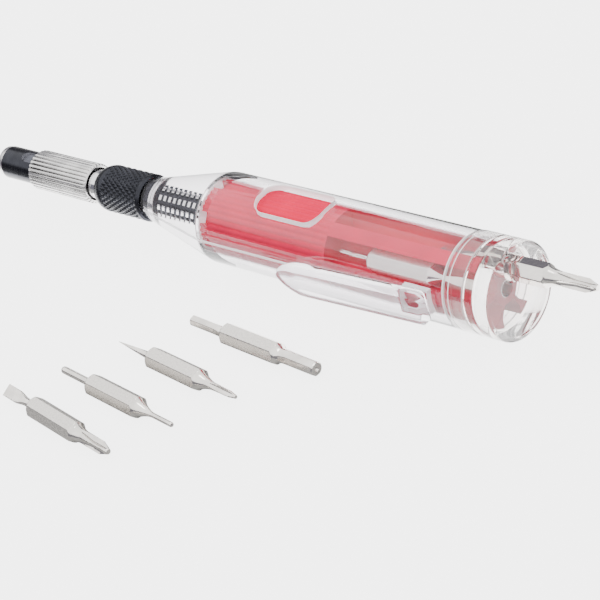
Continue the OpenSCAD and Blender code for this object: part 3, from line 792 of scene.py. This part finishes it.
def slot_cutter(x0, x1, circle):
    """Hexagonal channel that opens to the outside of the drum, drawn on the -Y side."""
    half = SLOT_AF / math.sqrt(3)
    low = SLOT_AF / 2
    outline = [(-half, 0), (-half / 2, low), (half / 2, low), (half, 0)]
    outline += [(half, -HANDLE_R), (-half, -HANDLE_R)]
    return loft("slot_cutter", [[(x, y - circle, z) for z, y in outline] for x in (x0, x1)])


# Front end


def drive_shank():
    """Dark steel bar from the tube into the nose, with a square knurl that keeps it from turning there."""
    rows, columns, sides, groove, crest = 8, 8, 16, 0.25, 0.31
    pitch = (SHANK_X1 - KNURL_X0) / rows

    def on_crest(x, angle):
        along = abs((x - KNURL_X0) / pitch % 1 - 0.5)
        around = abs(angle * columns / TAU % 1 - 0.5)
        return along < crest and around < crest

    def knurl(x, r, angle):
        if x < KNURL_X0 or r < KNURL_R - HAIR:
            return 0
        return 0 if on_crest(x, angle) else groove

    hole_depth = 9
    outline = [(SHANK_X0, PILOT_R), (SHANK_X0, SHANK_R), (COLLAR_X1, SHANK_R), (KNURL_X0 - HAIR, KNURL_R)]
    outline += spread(KNURL_X0, SHANK_X1, KNURL_R, pitch / sides)
    outline += [(SHANK_X1, 0), (SHANK_X0 + hole_depth, 0), (SHANK_X0 + hole_depth, PILOT_R)]
    shank = lathe("dark_shank", outline, sides * columns, knurl)

    # Raised knurl crests take bright chrome: painted highlights on the same dark steel.
    def pick(centre, normal):
        angle = math.atan2(centre.z, -centre.y) % TAU
        raised = centre.x > KNURL_X0 and from_axis(centre) > KNURL_R - groove / 4
        return 1 if raised and on_crest(centre.x, angle) else 0

    dark = metal_finish("dark_shank_steel", colours().dark, (0.18, 0.34), TURNED, 0.01 * MM)
    bright = metal_finish("knurl_crests_painted_highlight", colours().chrome, (0.2, 0.35), TURNED, 0.004 * MM)
    complete(shank, "handle", "drive_shank", [dark, bright], pick)


def shank_collar():
    """Bright ring on the shank, just inside the nose."""
    round_edge = 0.25
    groove_x, groove = (COLLAR_X0 + COLLAR_X1) / 2, 0.12
    corners = [
        (COLLAR_X0, SHANK_R, 0),
        (COLLAR_X0, COLLAR_R, round_edge),
        (groove_x - groove, COLLAR_R, 0),
        (groove_x, COLLAR_R - groove, 0),
        (groove_x + groove, COLLAR_R, 0),
        (COLLAR_X1, COLLAR_R, round_edge),
        (COLLAR_X1, SHANK_R, 0),
    ]
    collar = lathe("bright_collar", filleted(corners), steps=96)
    chrome = metal_finish("collar_chrome", colours().chrome, (0.06, 0.16), TURNED, 0.004 * MM, (0.92, 1.05))
    complete(collar, "handle", "shank_collar", [chrome])


def chuck_nut():
    """Dark nut with a smooth domed front and a diamond knurl."""
    s = sizes()
    depth, count, dome = s.knurl_depth / MM, s.knurl_count, s.dome_length / MM
    face_r, face_land, rear_bevel, front_wall, bore_bevel = 3.65, 0.15, 0.4, 2.6, 0.1
    overlap, plain_rear, sides, dome_steps = 0.3, 0.8, 8, 8
    knurl_x0, knurl_x1 = NUT_X0 + dome - overlap, NUT_X1 - plain_rear
    pitch = TAU * NUT_R / count
    stretch, land, fade_front, fade_rear = 1.7, 0.15, 0.7, 0.3

    def knurl(x, r, angle):
        if r < NUT_R - FIT_GAP or not knurl_x0 < x < knurl_x1:
            return 0
        around = angle * count / TAU
        along = (x - knurl_x0) / (stretch * pitch)
        ridges = [abs((around + sign * along) % 1 - 0.5) * 2 for sign in (-1, 1)]
        fade = min(1, (x - knurl_x0) / fade_front, (knurl_x1 - x) / fade_rear)
        return depth * fade * max(0, max(ridges) - land)

    neck_r = RING_R + FIT_GAP
    bore_r = THREAD_R + FIT_GAP
    rise = NUT_R - face_r
    dome_r = (dome**2 + rise**2) / (2 * rise)
    turn = math.asin(dome / dome_r)
    outline = [(NUT_X0 + front_wall, neck_r), (NUT_X0 + bore_bevel, neck_r)]
    outline += [(NUT_X0, neck_r + bore_bevel), (NUT_X0, face_r - face_land)]
    for k in range(dome_steps):
        angle = turn * (1 - k / dome_steps)
        outline.append((NUT_X0 + dome - dome_r * math.sin(angle), NUT_R - dome_r * (1 - math.cos(angle))))
    outline += spread(knurl_x0 + overlap, knurl_x1, NUT_R, pitch / sides)
    outline += [(NUT_X1 - rear_bevel, NUT_R), (NUT_X1, NUT_R - rear_bevel)]
    outline += [(NUT_X1, bore_r), (NUT_X0 + front_wall, bore_r)]
    nut = lathe("dark_nut", outline, sides * count, knurl)
    dark = metal_finish("nut_black", colours().dark, (0.22, 0.38), TUMBLED, 0.01 * MM)
    complete(nut, "nut", "chuck_nut", [dark], smooth=24)


def neck_ring():
    """Bright neck between the sleeve and the nut, with the flange that the nut holds."""
    flange_len, front_round, flange_round = 1.3, 0.3, 0.1
    flange_x = RING_X1 - flange_len
    corners = [
        (RING_X0, SHANK_R, 0),
        (RING_X0, RING_R, front_round),
        (flange_x, RING_R, 0),
        (flange_x, FLANGE_R, flange_round),
        (RING_X1, FLANGE_R, flange_round),
        (RING_X1, SHANK_R, 0),
    ]
    ring = lathe("bright_neck", filleted(corners), steps=128)
    chrome = metal_finish("neck_chrome", colours().chrome, (0.05, 0.14), TURNED, 0.003 * MM, (0.92, 1.05))
    complete(ring, "handle", "neck_ring", [chrome])


def grip_sleeve():
    """Fluted nickel sleeve with bevelled ends and the web that its spring pushes on."""
    s = sizes()
    depth, count = s.flute_depth / MM, s.flute_count
    bore_r = TUBE_R + FIT_GAP
    web_len, web_gap = 1.2, 0.1
    web_x0 = TUBE_X1 + RUN_GAP / 2
    web_x1 = web_x0 + web_len
    web_r = SHANK_R + web_gap
    bevel, shallow, sharpness, sides = 0.35, 0.35, 6, 12

    def flutes(x, r, angle):
        if r < SLEEVE_R - bevel - HAIR:
            return 0
        wave = 0.5 - 0.5 * math.cos(angle * count)
        return depth * wave**sharpness * (1 if r > SLEEVE_R - HAIR else shallow)

    outline = [(SLEEVE_X0, bore_r), (SLEEVE_X0, SLEEVE_R - bevel), (SLEEVE_X0 + bevel, SLEEVE_R)]
    outline += [(SLEEVE_X1 - bevel, SLEEVE_R), (SLEEVE_X1, SLEEVE_R - bevel), (SLEEVE_X1, bore_r)]
    outline += [(web_x1, bore_r), (web_x1, web_r), (web_x0, web_r), (web_x0, bore_r)]
    sleeve = lathe("fluted_sleeve", outline, sides * count, flutes)

    # Faces deep in the flutes take a much darker nickel: painted shade in the grooves, with some dirt.
    def pick(centre, normal):
        between = SLEEVE_X0 + bevel < centre.x < SLEEVE_X1 - bevel
        return 1 if between and bore_r + FIT_GAP < from_axis(centre) < SLEEVE_R - depth / 2 else 0

    nickel = metal_finish("sleeve_nickel", colours().nickel, (0.2, 0.36), TUMBLED, 0.008 * MM, (0.88, 1.12))
    groove_dirt_and_shade = metal_finish("sleeve_groove_dirt_and_shade", shade(colours().nickel, 0.25), (0.3, 0.45), TUMBLED, 0.008 * MM)
    complete(sleeve, "sleeve", "grip_sleeve", [nickel, groove_dirt_and_shade], pick, smooth=40)


def socket_tube():
    """Dark tube with a bright tapered mouth, a hexagonal socket and a slot over its leaf spring."""
    taper_len, taper = 1.15, 0.12
    mouth_r, mouth_depth, socket_depth = 2.5, 1.2, 11.5
    seat_x = SHANK_X0 - SEAT_GAP
    fine, rear_round, upright = 0.08, 0.15, 0.3
    corners = [
        (TUBE_X0, mouth_r, fine),
        (TUBE_X0, TUBE_R - taper, fine),
        (TUBE_X0 + taper_len, TUBE_R, fine),
        (TUBE_X1, TUBE_R, rear_round),
        (TUBE_X1, SHANK_R + SEAT_GAP, 0),
        (seat_x, SHANK_R + SEAT_GAP, 0),
        (seat_x, PILOT_R, 0),
        (TUBE_X0 + mouth_depth, PILOT_R, 0),
        (TUBE_X0 + mouth_depth, mouth_r, 0),
    ]
    tube = lathe("dark_tube", filleted(corners))
    half = SLOT_AF / 2
    hexagon = polygon(SLOT_AF / math.sqrt(3), 6)
    socket_ends = (TUBE_X0 - OVERRUN, TUBE_X0 + socket_depth)
    socket = loft("socket_cutter", [[(x, y, z) for y, z in hexagon] for x in socket_ends])
    slot_w = LEAF_HIGH.y - LEAF_LOW.y + 2 * FIT_GAP
    slot_x0, slot_x1 = LEAF_LOW.x - FIT_GAP, LEAF_HIGH.x + FIT_GAP
    slot_z0, slot_z1 = LEAF_LOW.z - SEAT_GAP, TUBE_R + OVERRUN
    slot = rounded_strip("leaf_slot_cutter", slot_x0, slot_x1, slot_w, slot_z0, slot_z1)
    boolean(tube, [socket, slot], "DIFFERENCE")

    def pick(centre, normal):
        mouth = centre.x < TUBE_X0 + taper_len and from_axis(centre) > mouth_r
        in_slot = slot_x0 - 2 * FIT_GAP < centre.x < slot_x1 and half < centre.z < TUBE_R
        slot_wall = in_slot and abs(normal.z) < upright and from_axis(centre) < TUBE_R - SKIN
        return 1 if mouth or slot_wall else 0

    dark = metal_finish("tube_black", colours().dark, (0.16, 0.3), TURNED, 0.006 * MM)
    bright = metal_finish("mouth_bright", colours().nickel, (0.18, 0.3), TURNED, 0.004 * MM)
    complete(tube, "handle", "socket_tube", [dark, bright], pick)


def bit_leaf_spring():
    """Steel strip in the tube's slot that presses on the bit."""
    width = LEAF_HIGH.y - LEAF_LOW.y
    leaf = rounded_strip("leaf_spring", LEAF_LOW.x, LEAF_HIGH.x, width, LEAF_LOW.z, LEAF_HIGH.z)
    steel = metal_finish("leaf_steel", shade(colours().dark, 3), (0.25, 0.4), DRAWN, 0.006 * MM)
    complete(leaf, "handle", "bit_leaf_spring", [steel])


def rounded_strip(name, x0, x1, width, z0, z1):
    """Strip along X between two heights, with a round front end."""
    half = width / 2
    outline = [(x1, -half), (x1, half)]
    turns = [TAU / 2 * k / 16 for k in range(17)]
    outline += [(x0 + half - half * math.sin(turn), half * math.cos(turn)) for turn in turns]
    return loft(name, [[(x, y, z) for x, y in outline] for z in (z0, z1)])


def sleeve_spring(steel):
    """Coil spring round the shank, which shortens as the sleeve is drawn back; it is built as one coil of
    fixed length.
    """
    x0, x1, outer = stations("sleeve_spring")
    wire = SPRING_WIRE / 2
    steps, sides = 32, 12
    count = SPRING_TURNS * steps
    rings = []
    for k in range(count + 1):
        turn = TAU * k / steps
        x = x0 + wire + (x1 - x0 - 2 * wire) * k / count
        section = [(x + dx, outer - wire + dr) for dx, dr in polygon(wire, sides)]
        rings.append([(s, r * math.cos(turn), r * math.sin(turn)) for s, r in section])
    coil = complete(loft("sleeve_coil", rings), "handle", "sleeve_spring", [steel])
    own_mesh(coil)


def inner_metal():
    """Metal inside: the sleeve's spring, and the solids of the detent and the magnet with their own steel."""
    steel = metal_finish("spring_steel", SPRING_TINT, (0.25, 0.4), DRAWN, 0.004 * MM)
    sleeve_spring(steel)
    for node in ("detent_spring", "detent_ball", "socket_magnet"):
        mesh = frame["nodes"][node].data
        mesh.materials.clear()
        mesh.materials.append(steel)


# Bits: a tip gives its radius at a distance from the hexagon and an angle from the bit's upper flat


def hexagon_radius(angle, af):
    """Distance from the centre of a hexagon to its outline; a flat faces angle 0."""
    sector = (angle + TAU / 12) % (TAU / 6) - TAU / 12
    return af / 2 / math.cos(sector)


def cross_tip(radius, turn):
    """Cross-point tip with long ground flutes; a flute faces the angle turn, in degrees."""
    flute, shallow, deep = 0.66 * radius, 1.68 * radius, 1.1 * radius
    point_start, point_end, grind_start, grind_end = 0.78, 0.4, 0.12, 0.6

    def tip(s, length, angle):
        share = s / length
        point = max(0.0, (share - point_start) / (1 - point_start))
        body = radius * (1 - (1 - point_end) * point)
        ground = min(1.0, max(0.0, (share - grind_start) / (grind_end - grind_start)))
        centre = shallow + (deep - shallow) * ground
        off = (angle - math.radians(turn) + TAU / 8) % (TAU / 4) - TAU / 8
        side = centre * math.sin(off)
        if abs(side) < flute:
            body = min(body, centre * math.cos(off) - math.sqrt(flute**2 - side**2))
        return body

    return tip


def blade_tip(neck, half, edge, turn):
    """Flat blade that flares from a round neck; its flat faces the angle turn, in degrees."""
    flare_start, flare_len, flat_start, flat_len = 0.25, 0.35, 0.12, 0.78

    def tip(s, length, angle):
        flare = min(1.0, max(0.0, (s / length - flare_start) / flare_len))
        flat = min(1.0, max(0.0, (s / length - flat_start) / flat_len))
        wide = neck + (half - neck) * flare * flare * (3 - 2 * flare)
        thick = neck + (edge - neck) * flat
        return min(wide, thick / max(TINY, abs(math.cos(angle - math.radians(turn)))))

    return tip


def spike_tip(radius, edge, turn):
    """Narrow blade that thins to an edge along its length; its flat faces the angle turn, in degrees."""

    def tip(s, length, angle):
        thick = radius + (edge - radius) * s / length
        return min(radius, thick / max(TINY, abs(math.cos(angle - math.radians(turn)))))

    return tip


def pin_tip(radius):
    """Round pin with a rounded end."""
    blunt = 0.12

    def tip(s, length, angle):
        into_end = max(0.0, s - (length - radius))
        return max(blunt * radius, math.sqrt(max(0.0, radius**2 - into_end**2)))

    return tip


def key_tip(af):
    """Hexagonal key whose flats run out into a round root."""
    run_out, bevel, corner_share = 2.6, 0.25, 0.98

    def tip(s, length, angle):
        corner = corner_share * af / math.sqrt(3)
        flat = af + (2 * corner - af) * max(0.0, 1 - s / run_out)
        return min(corner, hexagon_radius(angle, flat), corner - bevel + (length - s))

    return tip


def bit_place(node):
    """Matrix that lays a bit along its node, and its stations: front end, hexagon's ends, rear end."""
    points = points_of(node)
    middle = points.mean(0)
    along = np.linalg.eigh(np.cov((points - middle).T))[1][:, -1]
    along *= np.sign(along[0])
    low, high = points.min(0), points.max(0)
    axis_y, axis_z = (low[1:] + high[1:]) / 2
    chamfer, askew, outermost = 0.55, 0.01, 0.99
    loose = abs(along[1]) > askew
    out = Vector((0, 0, 1)) if loose else Vector((0, axis_y, axis_z)).normalized()
    ahead = Vector((along[0], along[1], 0)).normalized() if loose else Vector((1, 0, 0))
    side = out.cross(ahead)
    ends = points @ np.array(ahead)
    across = points @ np.array(side)
    heights = points @ np.array(out)
    centre = side * ((across.min() + across.max()) / 2) + out * ((heights.min() + heights.max()) / 2)
    place = Matrix.Translation(centre) @ Matrix((ahead, side, out)).transposed().to_4x4()
    radii = np.hypot(across - np.array(centre) @ np.array(side), heights - np.array(centre) @ np.array(out))
    hexagon = ends[radii > outermost * radii.max()]
    return place, (ends.min(), hexagon.min() - chamfer, hexagon.max() + chamfer, ends.max())


def make_bit(name, node, body, front, rear, roots, polish=(0.2, 0.32), wear_and_painted_light=(0.86, 1.1), dimple=0.0):
    """Double-ended bit: a hexagon with turned ends, a tip on a root cone at each end, a dimple in the rear.

    roots gives the lengths of the two cones, and polish and wear_and_painted_light the roughness and the
    shades of the hexagon's satin, the shades also serving as painted light on the stored bit.
    """
    place, (x0, hex0, hex1, x1) = bit_place(node)
    end_share, corner_share, turned_angle = 0.88, 0.985, 40
    end_r = end_share * HEX_AF / 2
    corner_r = corner_share * HEX_AF / math.sqrt(3)
    turned = math.tan(math.radians(turned_angle))
    hollow, dimple_floor, satin_start, speckle = 1.7, 0.2, 0.4, 2600.0

    def radius(x, angle):
        if hex0 <= x <= hex1:
            depth = min(x - hex0, hex1 - x)
            return min(hexagon_radius(angle, HEX_AF), corner_r, end_r + depth * turned)
        if x < hex0:
            s, length, tip, cone = hex0 - x, hex0 - x0, front, roots[0]
        else:
            s, length, tip, cone = x - hex1, x1 - hex1, rear, roots[1]
        tip_r = tip(s, length, angle)
        return tip_r + (end_r - tip_r) * max(0.0, 1 - s / cone) ** hollow

    fine, close, wide, turned_len = 0.1, 0.2, 3, 1
    middle0, middle1 = hex0 + turned_len, hex1 - turned_len
    stretches = [(x0, hex0, close), (hex0, middle0, fine), (middle0, middle1, wide)]
    stretches += [(middle1, hex1, fine), (hex1, x1, close)]
    xs = {round(x, 4) for a, b, step in stretches for x, _ in spread(a, b, 0, step)}
    steps = 96
    turns = [TAU * k / steps for k in range(steps)]
    rings = [(x, [radius(x, a) for a in turns]) for x in sorted(xs)]
    if dimple:
        rings += [(x1, [dimple] * steps), (x1 - dimple, [dimple_floor * dimple] * steps)]
    outlines = []
    for x, ring in rings:
        outlines.append([(x, -r * math.sin(a), r * math.cos(a)) for r, a in zip(ring, turns)])
    bar = loft(name, outlines)
    steel = colours().bits
    satin = metal_finish(name + "_satin", steel, polish, TUMBLED, 0.012 * MM, wear_and_painted_light, speckle)
    ground = metal_finish(name + "_ground", steel, (0.1, 0.22), DRAWN, 0.006 * MM, (0.9, 1.2))

    def pick(centre, normal):
        return 0 if hex0 + satin_start < centre.x < hex1 - satin_start else 1

    complete(bar, body, node, [satin, ground], pick, place=place)


def drum_bits():
    """Bit stored in the drum, and the one that is slid out through the cap."""
    mirror, matt, even, bright = (0.04, 0.09), (0.5, 0.62), (0.98, 1.1), (1.16, 1.24)
    # bright paints the stored bit's satin lighter than the other bits' steel: painted light.
    make_bit(
        "stored_cross_bit", "stored_bit", "drum",
        cross_tip(0.6, 0), blade_tip(0.7, 0.9, 0.15, 0), (0.8, 2.4), matt, bright,
    )
    make_bit(
        "slid_out_bit", "dispensed_bit", "slid_bit",
        blade_tip(0.9, 1.3, 0.25, 0), cross_tip(1.3, 0), (0.8, 2.6), mirror, even,
    )


def table_bits():
    """Four loose bits on the table."""
    facing = 24
    make_bit(
        "loose_slotted_bit", "slotted_phillips_bit", "loose_slotted",
        blade_tip(0.85, 1.3, 0.25, 17), cross_tip(1.3, facing - 45), (0.6, 2.4),
    )
    make_bit("loose_pin_bit", "pin_bit", "loose_pin", pin_tip(0.75), pin_tip(0.5), (0.6, 4.2))
    make_bit(
        "loose_fine_bit", "fine_blade_bit", "loose_fine",
        spike_tip(0.8, 0.06, facing - 90), cross_tip(0.85, facing), (0.6, 3.2),
    )
    make_bit("loose_key_bit", "hex_key_bit", "loose_key", key_tip(2), key_tip(2.6), (0.6, 0.9), dimple=0.5)


# Stage

VIEW_TARGET = (0.0805, -0.0050, -0.0143)
VIEW_DISTANCE = 0.455
VIEW_AZIMUTH = math.radians(59.69)
VIEW_ELEVATION = math.radians(40.03)
VIEW_ROLL = math.radians(-32.03)
VIEW_LENS = 142.35
VIEW_SENSOR = 36.0
VIEW_NEAR = 0.01
TABLE_REACH = 2.0
TABLE_GLOW = 4.4
TABLE_NEAR = 0.018
TABLE_SCATTER = 10.0
SKY_STRENGTH = 2.2
SKY_EDGES = (0.37, 0.43)
SKY_LOW = (0.1, 0.097, 0.115, 1)
LIGHT_PLACE = (0.02, 0.25, 0.7)
LIGHT_TARGET = (0.08, -0.01, 0)
LIGHT_WIDTH = 0.2
LIGHT_POWER = 0.6


def white_table():
    """Pale table, bright where it is seen straight, through clear plastic or mirrored near the axis."""
    signs = ((-1, -1), (1, -1), (1, 1), (-1, 1))
    corners = [(x * TABLE_REACH, y * TABLE_REACH, FLOOR_Z) for x, y in signs]
    mesh = bpy.data.meshes.new("table")
    mesh.from_pydata(corners, [], [(0, 1, 2, 3)])
    table = bpy.data.objects.new("table", mesh)
    bpy.context.scene.collection.objects.link(table)
    finish = Finish("table_white", roughness=0.7, specular_ior_level=0.1, emission_color=WHITE)
    tone = tuple(colours().floor)
    cloud = finish.noise(finish.place, 4.0)
    finish.link(finish.ramp(cloud, shade(tone, 0.99), tone), "Base Color")
    path = finish.node("ShaderNodeLightPath").outputs
    mirrored = finish.maths("SUBTRACT", path["Glossy Depth"], path["Transmission Depth"])
    beside = finish.maths("ABSOLUTE", finish.node("ShaderNodeSeparateXYZ", vector=finish.place).outputs["Y"])
    mirrored = finish.maths("MULTIPLY", mirrored, finish.maths("GREATER_THAN", beside, TABLE_NEAR))
    scattered = finish.maths("MULTIPLY", path["Diffuse Depth"], TABLE_SCATTER)
    straight = finish.maths("LESS_THAN", finish.maths("ADD", mirrored, scattered), 0.5)
    finish.link(finish.maths("MULTIPLY", straight, TABLE_GLOW), "Emission Strength")
    mesh.materials.append(finish.material)


def soft_sky():
    """Bright dome above a darker horizon."""
    world = bpy.data.worlds.new("studio")
    bpy.context.scene.world = world
    world.use_nodes = True
    tree = world.node_tree
    place = tree.nodes.new("ShaderNodeTexCoord")
    height = tree.nodes.new("ShaderNodeSeparateXYZ")
    ramp = tree.nodes.new("ShaderNodeValToRGB")
    tree.links.new(place.outputs["Generated"], height.inputs[0])
    tree.links.new(height.outputs["Z"], ramp.inputs["Fac"])
    tree.links.new(ramp.outputs["Color"], tree.nodes["Background"].inputs["Color"])
    for stop, at, tone in zip(ramp.color_ramp.elements, SKY_EDGES, (SKY_LOW, WHITE)):
        stop.position, stop.color = at, tone
    tree.nodes["Background"].inputs["Strength"].default_value = SKY_STRENGTH


def softbox():
    """Square area light overhead."""
    light = bpy.data.lights.new("overhead_light", "AREA")
    light.shape = "SQUARE"
    light.size = LIGHT_WIDTH
    light.energy = LIGHT_POWER
    lamp = bpy.data.objects.new("overhead_light", light)
    bpy.context.scene.collection.objects.link(lamp)
    lamp.location = LIGHT_PLACE
    lamp.rotation_euler = (Vector(LIGHT_TARGET) - Vector(LIGHT_PLACE)).to_track_quat("-Z", "Y").to_euler()


def photo_camera():
    """Camera at the photograph's place, turned about its own axis as the photograph is."""
    camera = bpy.data.cameras.new("camera")
    camera.lens = VIEW_LENS
    camera.sensor_width = VIEW_SENSOR
    camera.clip_start = VIEW_NEAR
    eye = bpy.data.objects.new("camera", camera)
    bpy.context.scene.collection.objects.link(eye)
    level = math.cos(VIEW_ELEVATION)
    back = Vector((math.sin(VIEW_AZIMUTH) * level, -math.cos(VIEW_AZIMUTH) * level, math.sin(VIEW_ELEVATION)))
    right = Vector((math.cos(VIEW_AZIMUTH), math.sin(VIEW_AZIMUTH), 0))
    turned = Matrix((right, back.cross(right), back)).transposed() @ Matrix.Rotation(VIEW_ROLL, 3, "Z")
    eye.matrix_world = Matrix.Translation(Vector(VIEW_TARGET) + VIEW_DISTANCE * back) @ turned.to_4x4()
    bpy.context.scene.camera = eye


# Operators and panel


class SCREWDRIVER_OT_handle(bpy.types.Operator):
    """Build the clear handle with its thumb window"""

    bl_idname = "screwdriver.handle"
    bl_label = "Handle"

    def execute(self, context):
        handle_shell()
        return {"FINISHED"}


class SCREWDRIVER_OT_clip(bpy.types.Operator):
    """Build the clear pocket clip"""

    bl_idname = "screwdriver.clip"
    bl_label = "Pocket clip"

    def execute(self, context):
        pocket_clip()
        return {"FINISHED"}


class SCREWDRIVER_OT_cap(bpy.types.Operator):
    """Build the clear end cap"""

    bl_idname = "screwdriver.cap"
    bl_label = "End cap"

    def execute(self, context):
        end_cap()
        return {"FINISHED"}


class SCREWDRIVER_OT_drum(bpy.types.Operator):
    """Build the red bit drum"""

    bl_idname = "screwdriver.drum"
    bl_label = "Bit drum"

    def execute(self, context):
        bit_drum()
        return {"FINISHED"}


class SCREWDRIVER_OT_shank(bpy.types.Operator):
    """Build the knurled shank and its collar"""

    bl_idname = "screwdriver.shank"
    bl_label = "Shank"

    def execute(self, context):
        drive_shank()
        shank_collar()
        return {"FINISHED"}


class SCREWDRIVER_OT_nut(bpy.types.Operator):
    """Build the knurled nut and the bright neck that it holds"""

    bl_idname = "screwdriver.nut"
    bl_label = "Nut and neck"

    def execute(self, context):
        chuck_nut()
        neck_ring()
        return {"FINISHED"}


class SCREWDRIVER_OT_sleeve(bpy.types.Operator):
    """Build the fluted sleeve"""

    bl_idname = "screwdriver.sleeve"
    bl_label = "Sleeve"

    def execute(self, context):
        grip_sleeve()
        return {"FINISHED"}


class SCREWDRIVER_OT_tube(bpy.types.Operator):
    """Build the socket tube and its leaf spring"""

    bl_idname = "screwdriver.tube"
    bl_label = "Socket tube"

    def execute(self, context):
        socket_tube()
        bit_leaf_spring()
        return {"FINISHED"}


class SCREWDRIVER_OT_inside(bpy.types.Operator):
    """Finish the springs, the ball and the magnet"""

    bl_idname = "screwdriver.inside"
    bl_label = "Inner metal"

    def execute(self, context):
        inner_metal()
        return {"FINISHED"}


class SCREWDRIVER_OT_bits(bpy.types.Operator):
    """Build the bits in the drum and on the table"""

    bl_idname = "screwdriver.bits"
    bl_label = "Bits"

    def execute(self, context):
        drum_bits()
        table_bits()
        return {"FINISHED"}


class SCREWDRIVER_OT_stage(bpy.types.Operator):
    """Build the table, the light and the camera"""

    bl_idname = "screwdriver.stage"
    bl_label = "Stage"

    def execute(self, context):
        white_table()
        soft_sky()
        softbox()
        photo_camera()
        return {"FINISHED"}


PIECES = [
    SCREWDRIVER_OT_handle,
    SCREWDRIVER_OT_clip,
    SCREWDRIVER_OT_cap,
    SCREWDRIVER_OT_drum,
    SCREWDRIVER_OT_shank,
    SCREWDRIVER_OT_nut,
    SCREWDRIVER_OT_sleeve,
    SCREWDRIVER_OT_tube,
    SCREWDRIVER_OT_inside,
    SCREWDRIVER_OT_bits,
    SCREWDRIVER_OT_stage,
]


class SCREWDRIVER_PT_panel(bpy.types.Panel):
    """Lists the sizes, the colours and the pieces"""

    bl_idname = "SCREWDRIVER_PT_panel"
    bl_label = "Screwdriver"
    bl_space_type = "VIEW_3D"
    bl_region_type = "UI"
    bl_category = "Screwdriver"

    def draw(self, context):
        for group in (context.scene.screwdriver_sizes, context.scene.screwdriver_colours):
            for name in group.__annotations__:
                self.layout.prop(group, name)
        for piece in PIECES:
            self.layout.operator(piece.bl_idname)


CLASSES = [ScrewdriverSizes, ScrewdriverColours, *PIECES, SCREWDRIVER_PT_panel]


def register():
    for cls in CLASSES:
        bpy.utils.register_class(cls)
    bpy.types.Scene.screwdriver_sizes = PointerProperty(type=ScrewdriverSizes)
    bpy.types.Scene.screwdriver_colours = PointerProperty(type=ScrewdriverColours)


def unregister():
    del bpy.types.Scene.screwdriver_sizes
    del bpy.types.Scene.screwdriver_colours
    for cls in reversed(CLASSES):
        bpy.utils.unregister_class(cls)


def main():
    """Registers the add-on and builds every piece in order."""
    register()
    for piece in PIECES:
        group, key = piece.bl_idname.split(".")
        getattr(getattr(bpy.ops, group), key)()


if __name__ == "__main__":
    main()
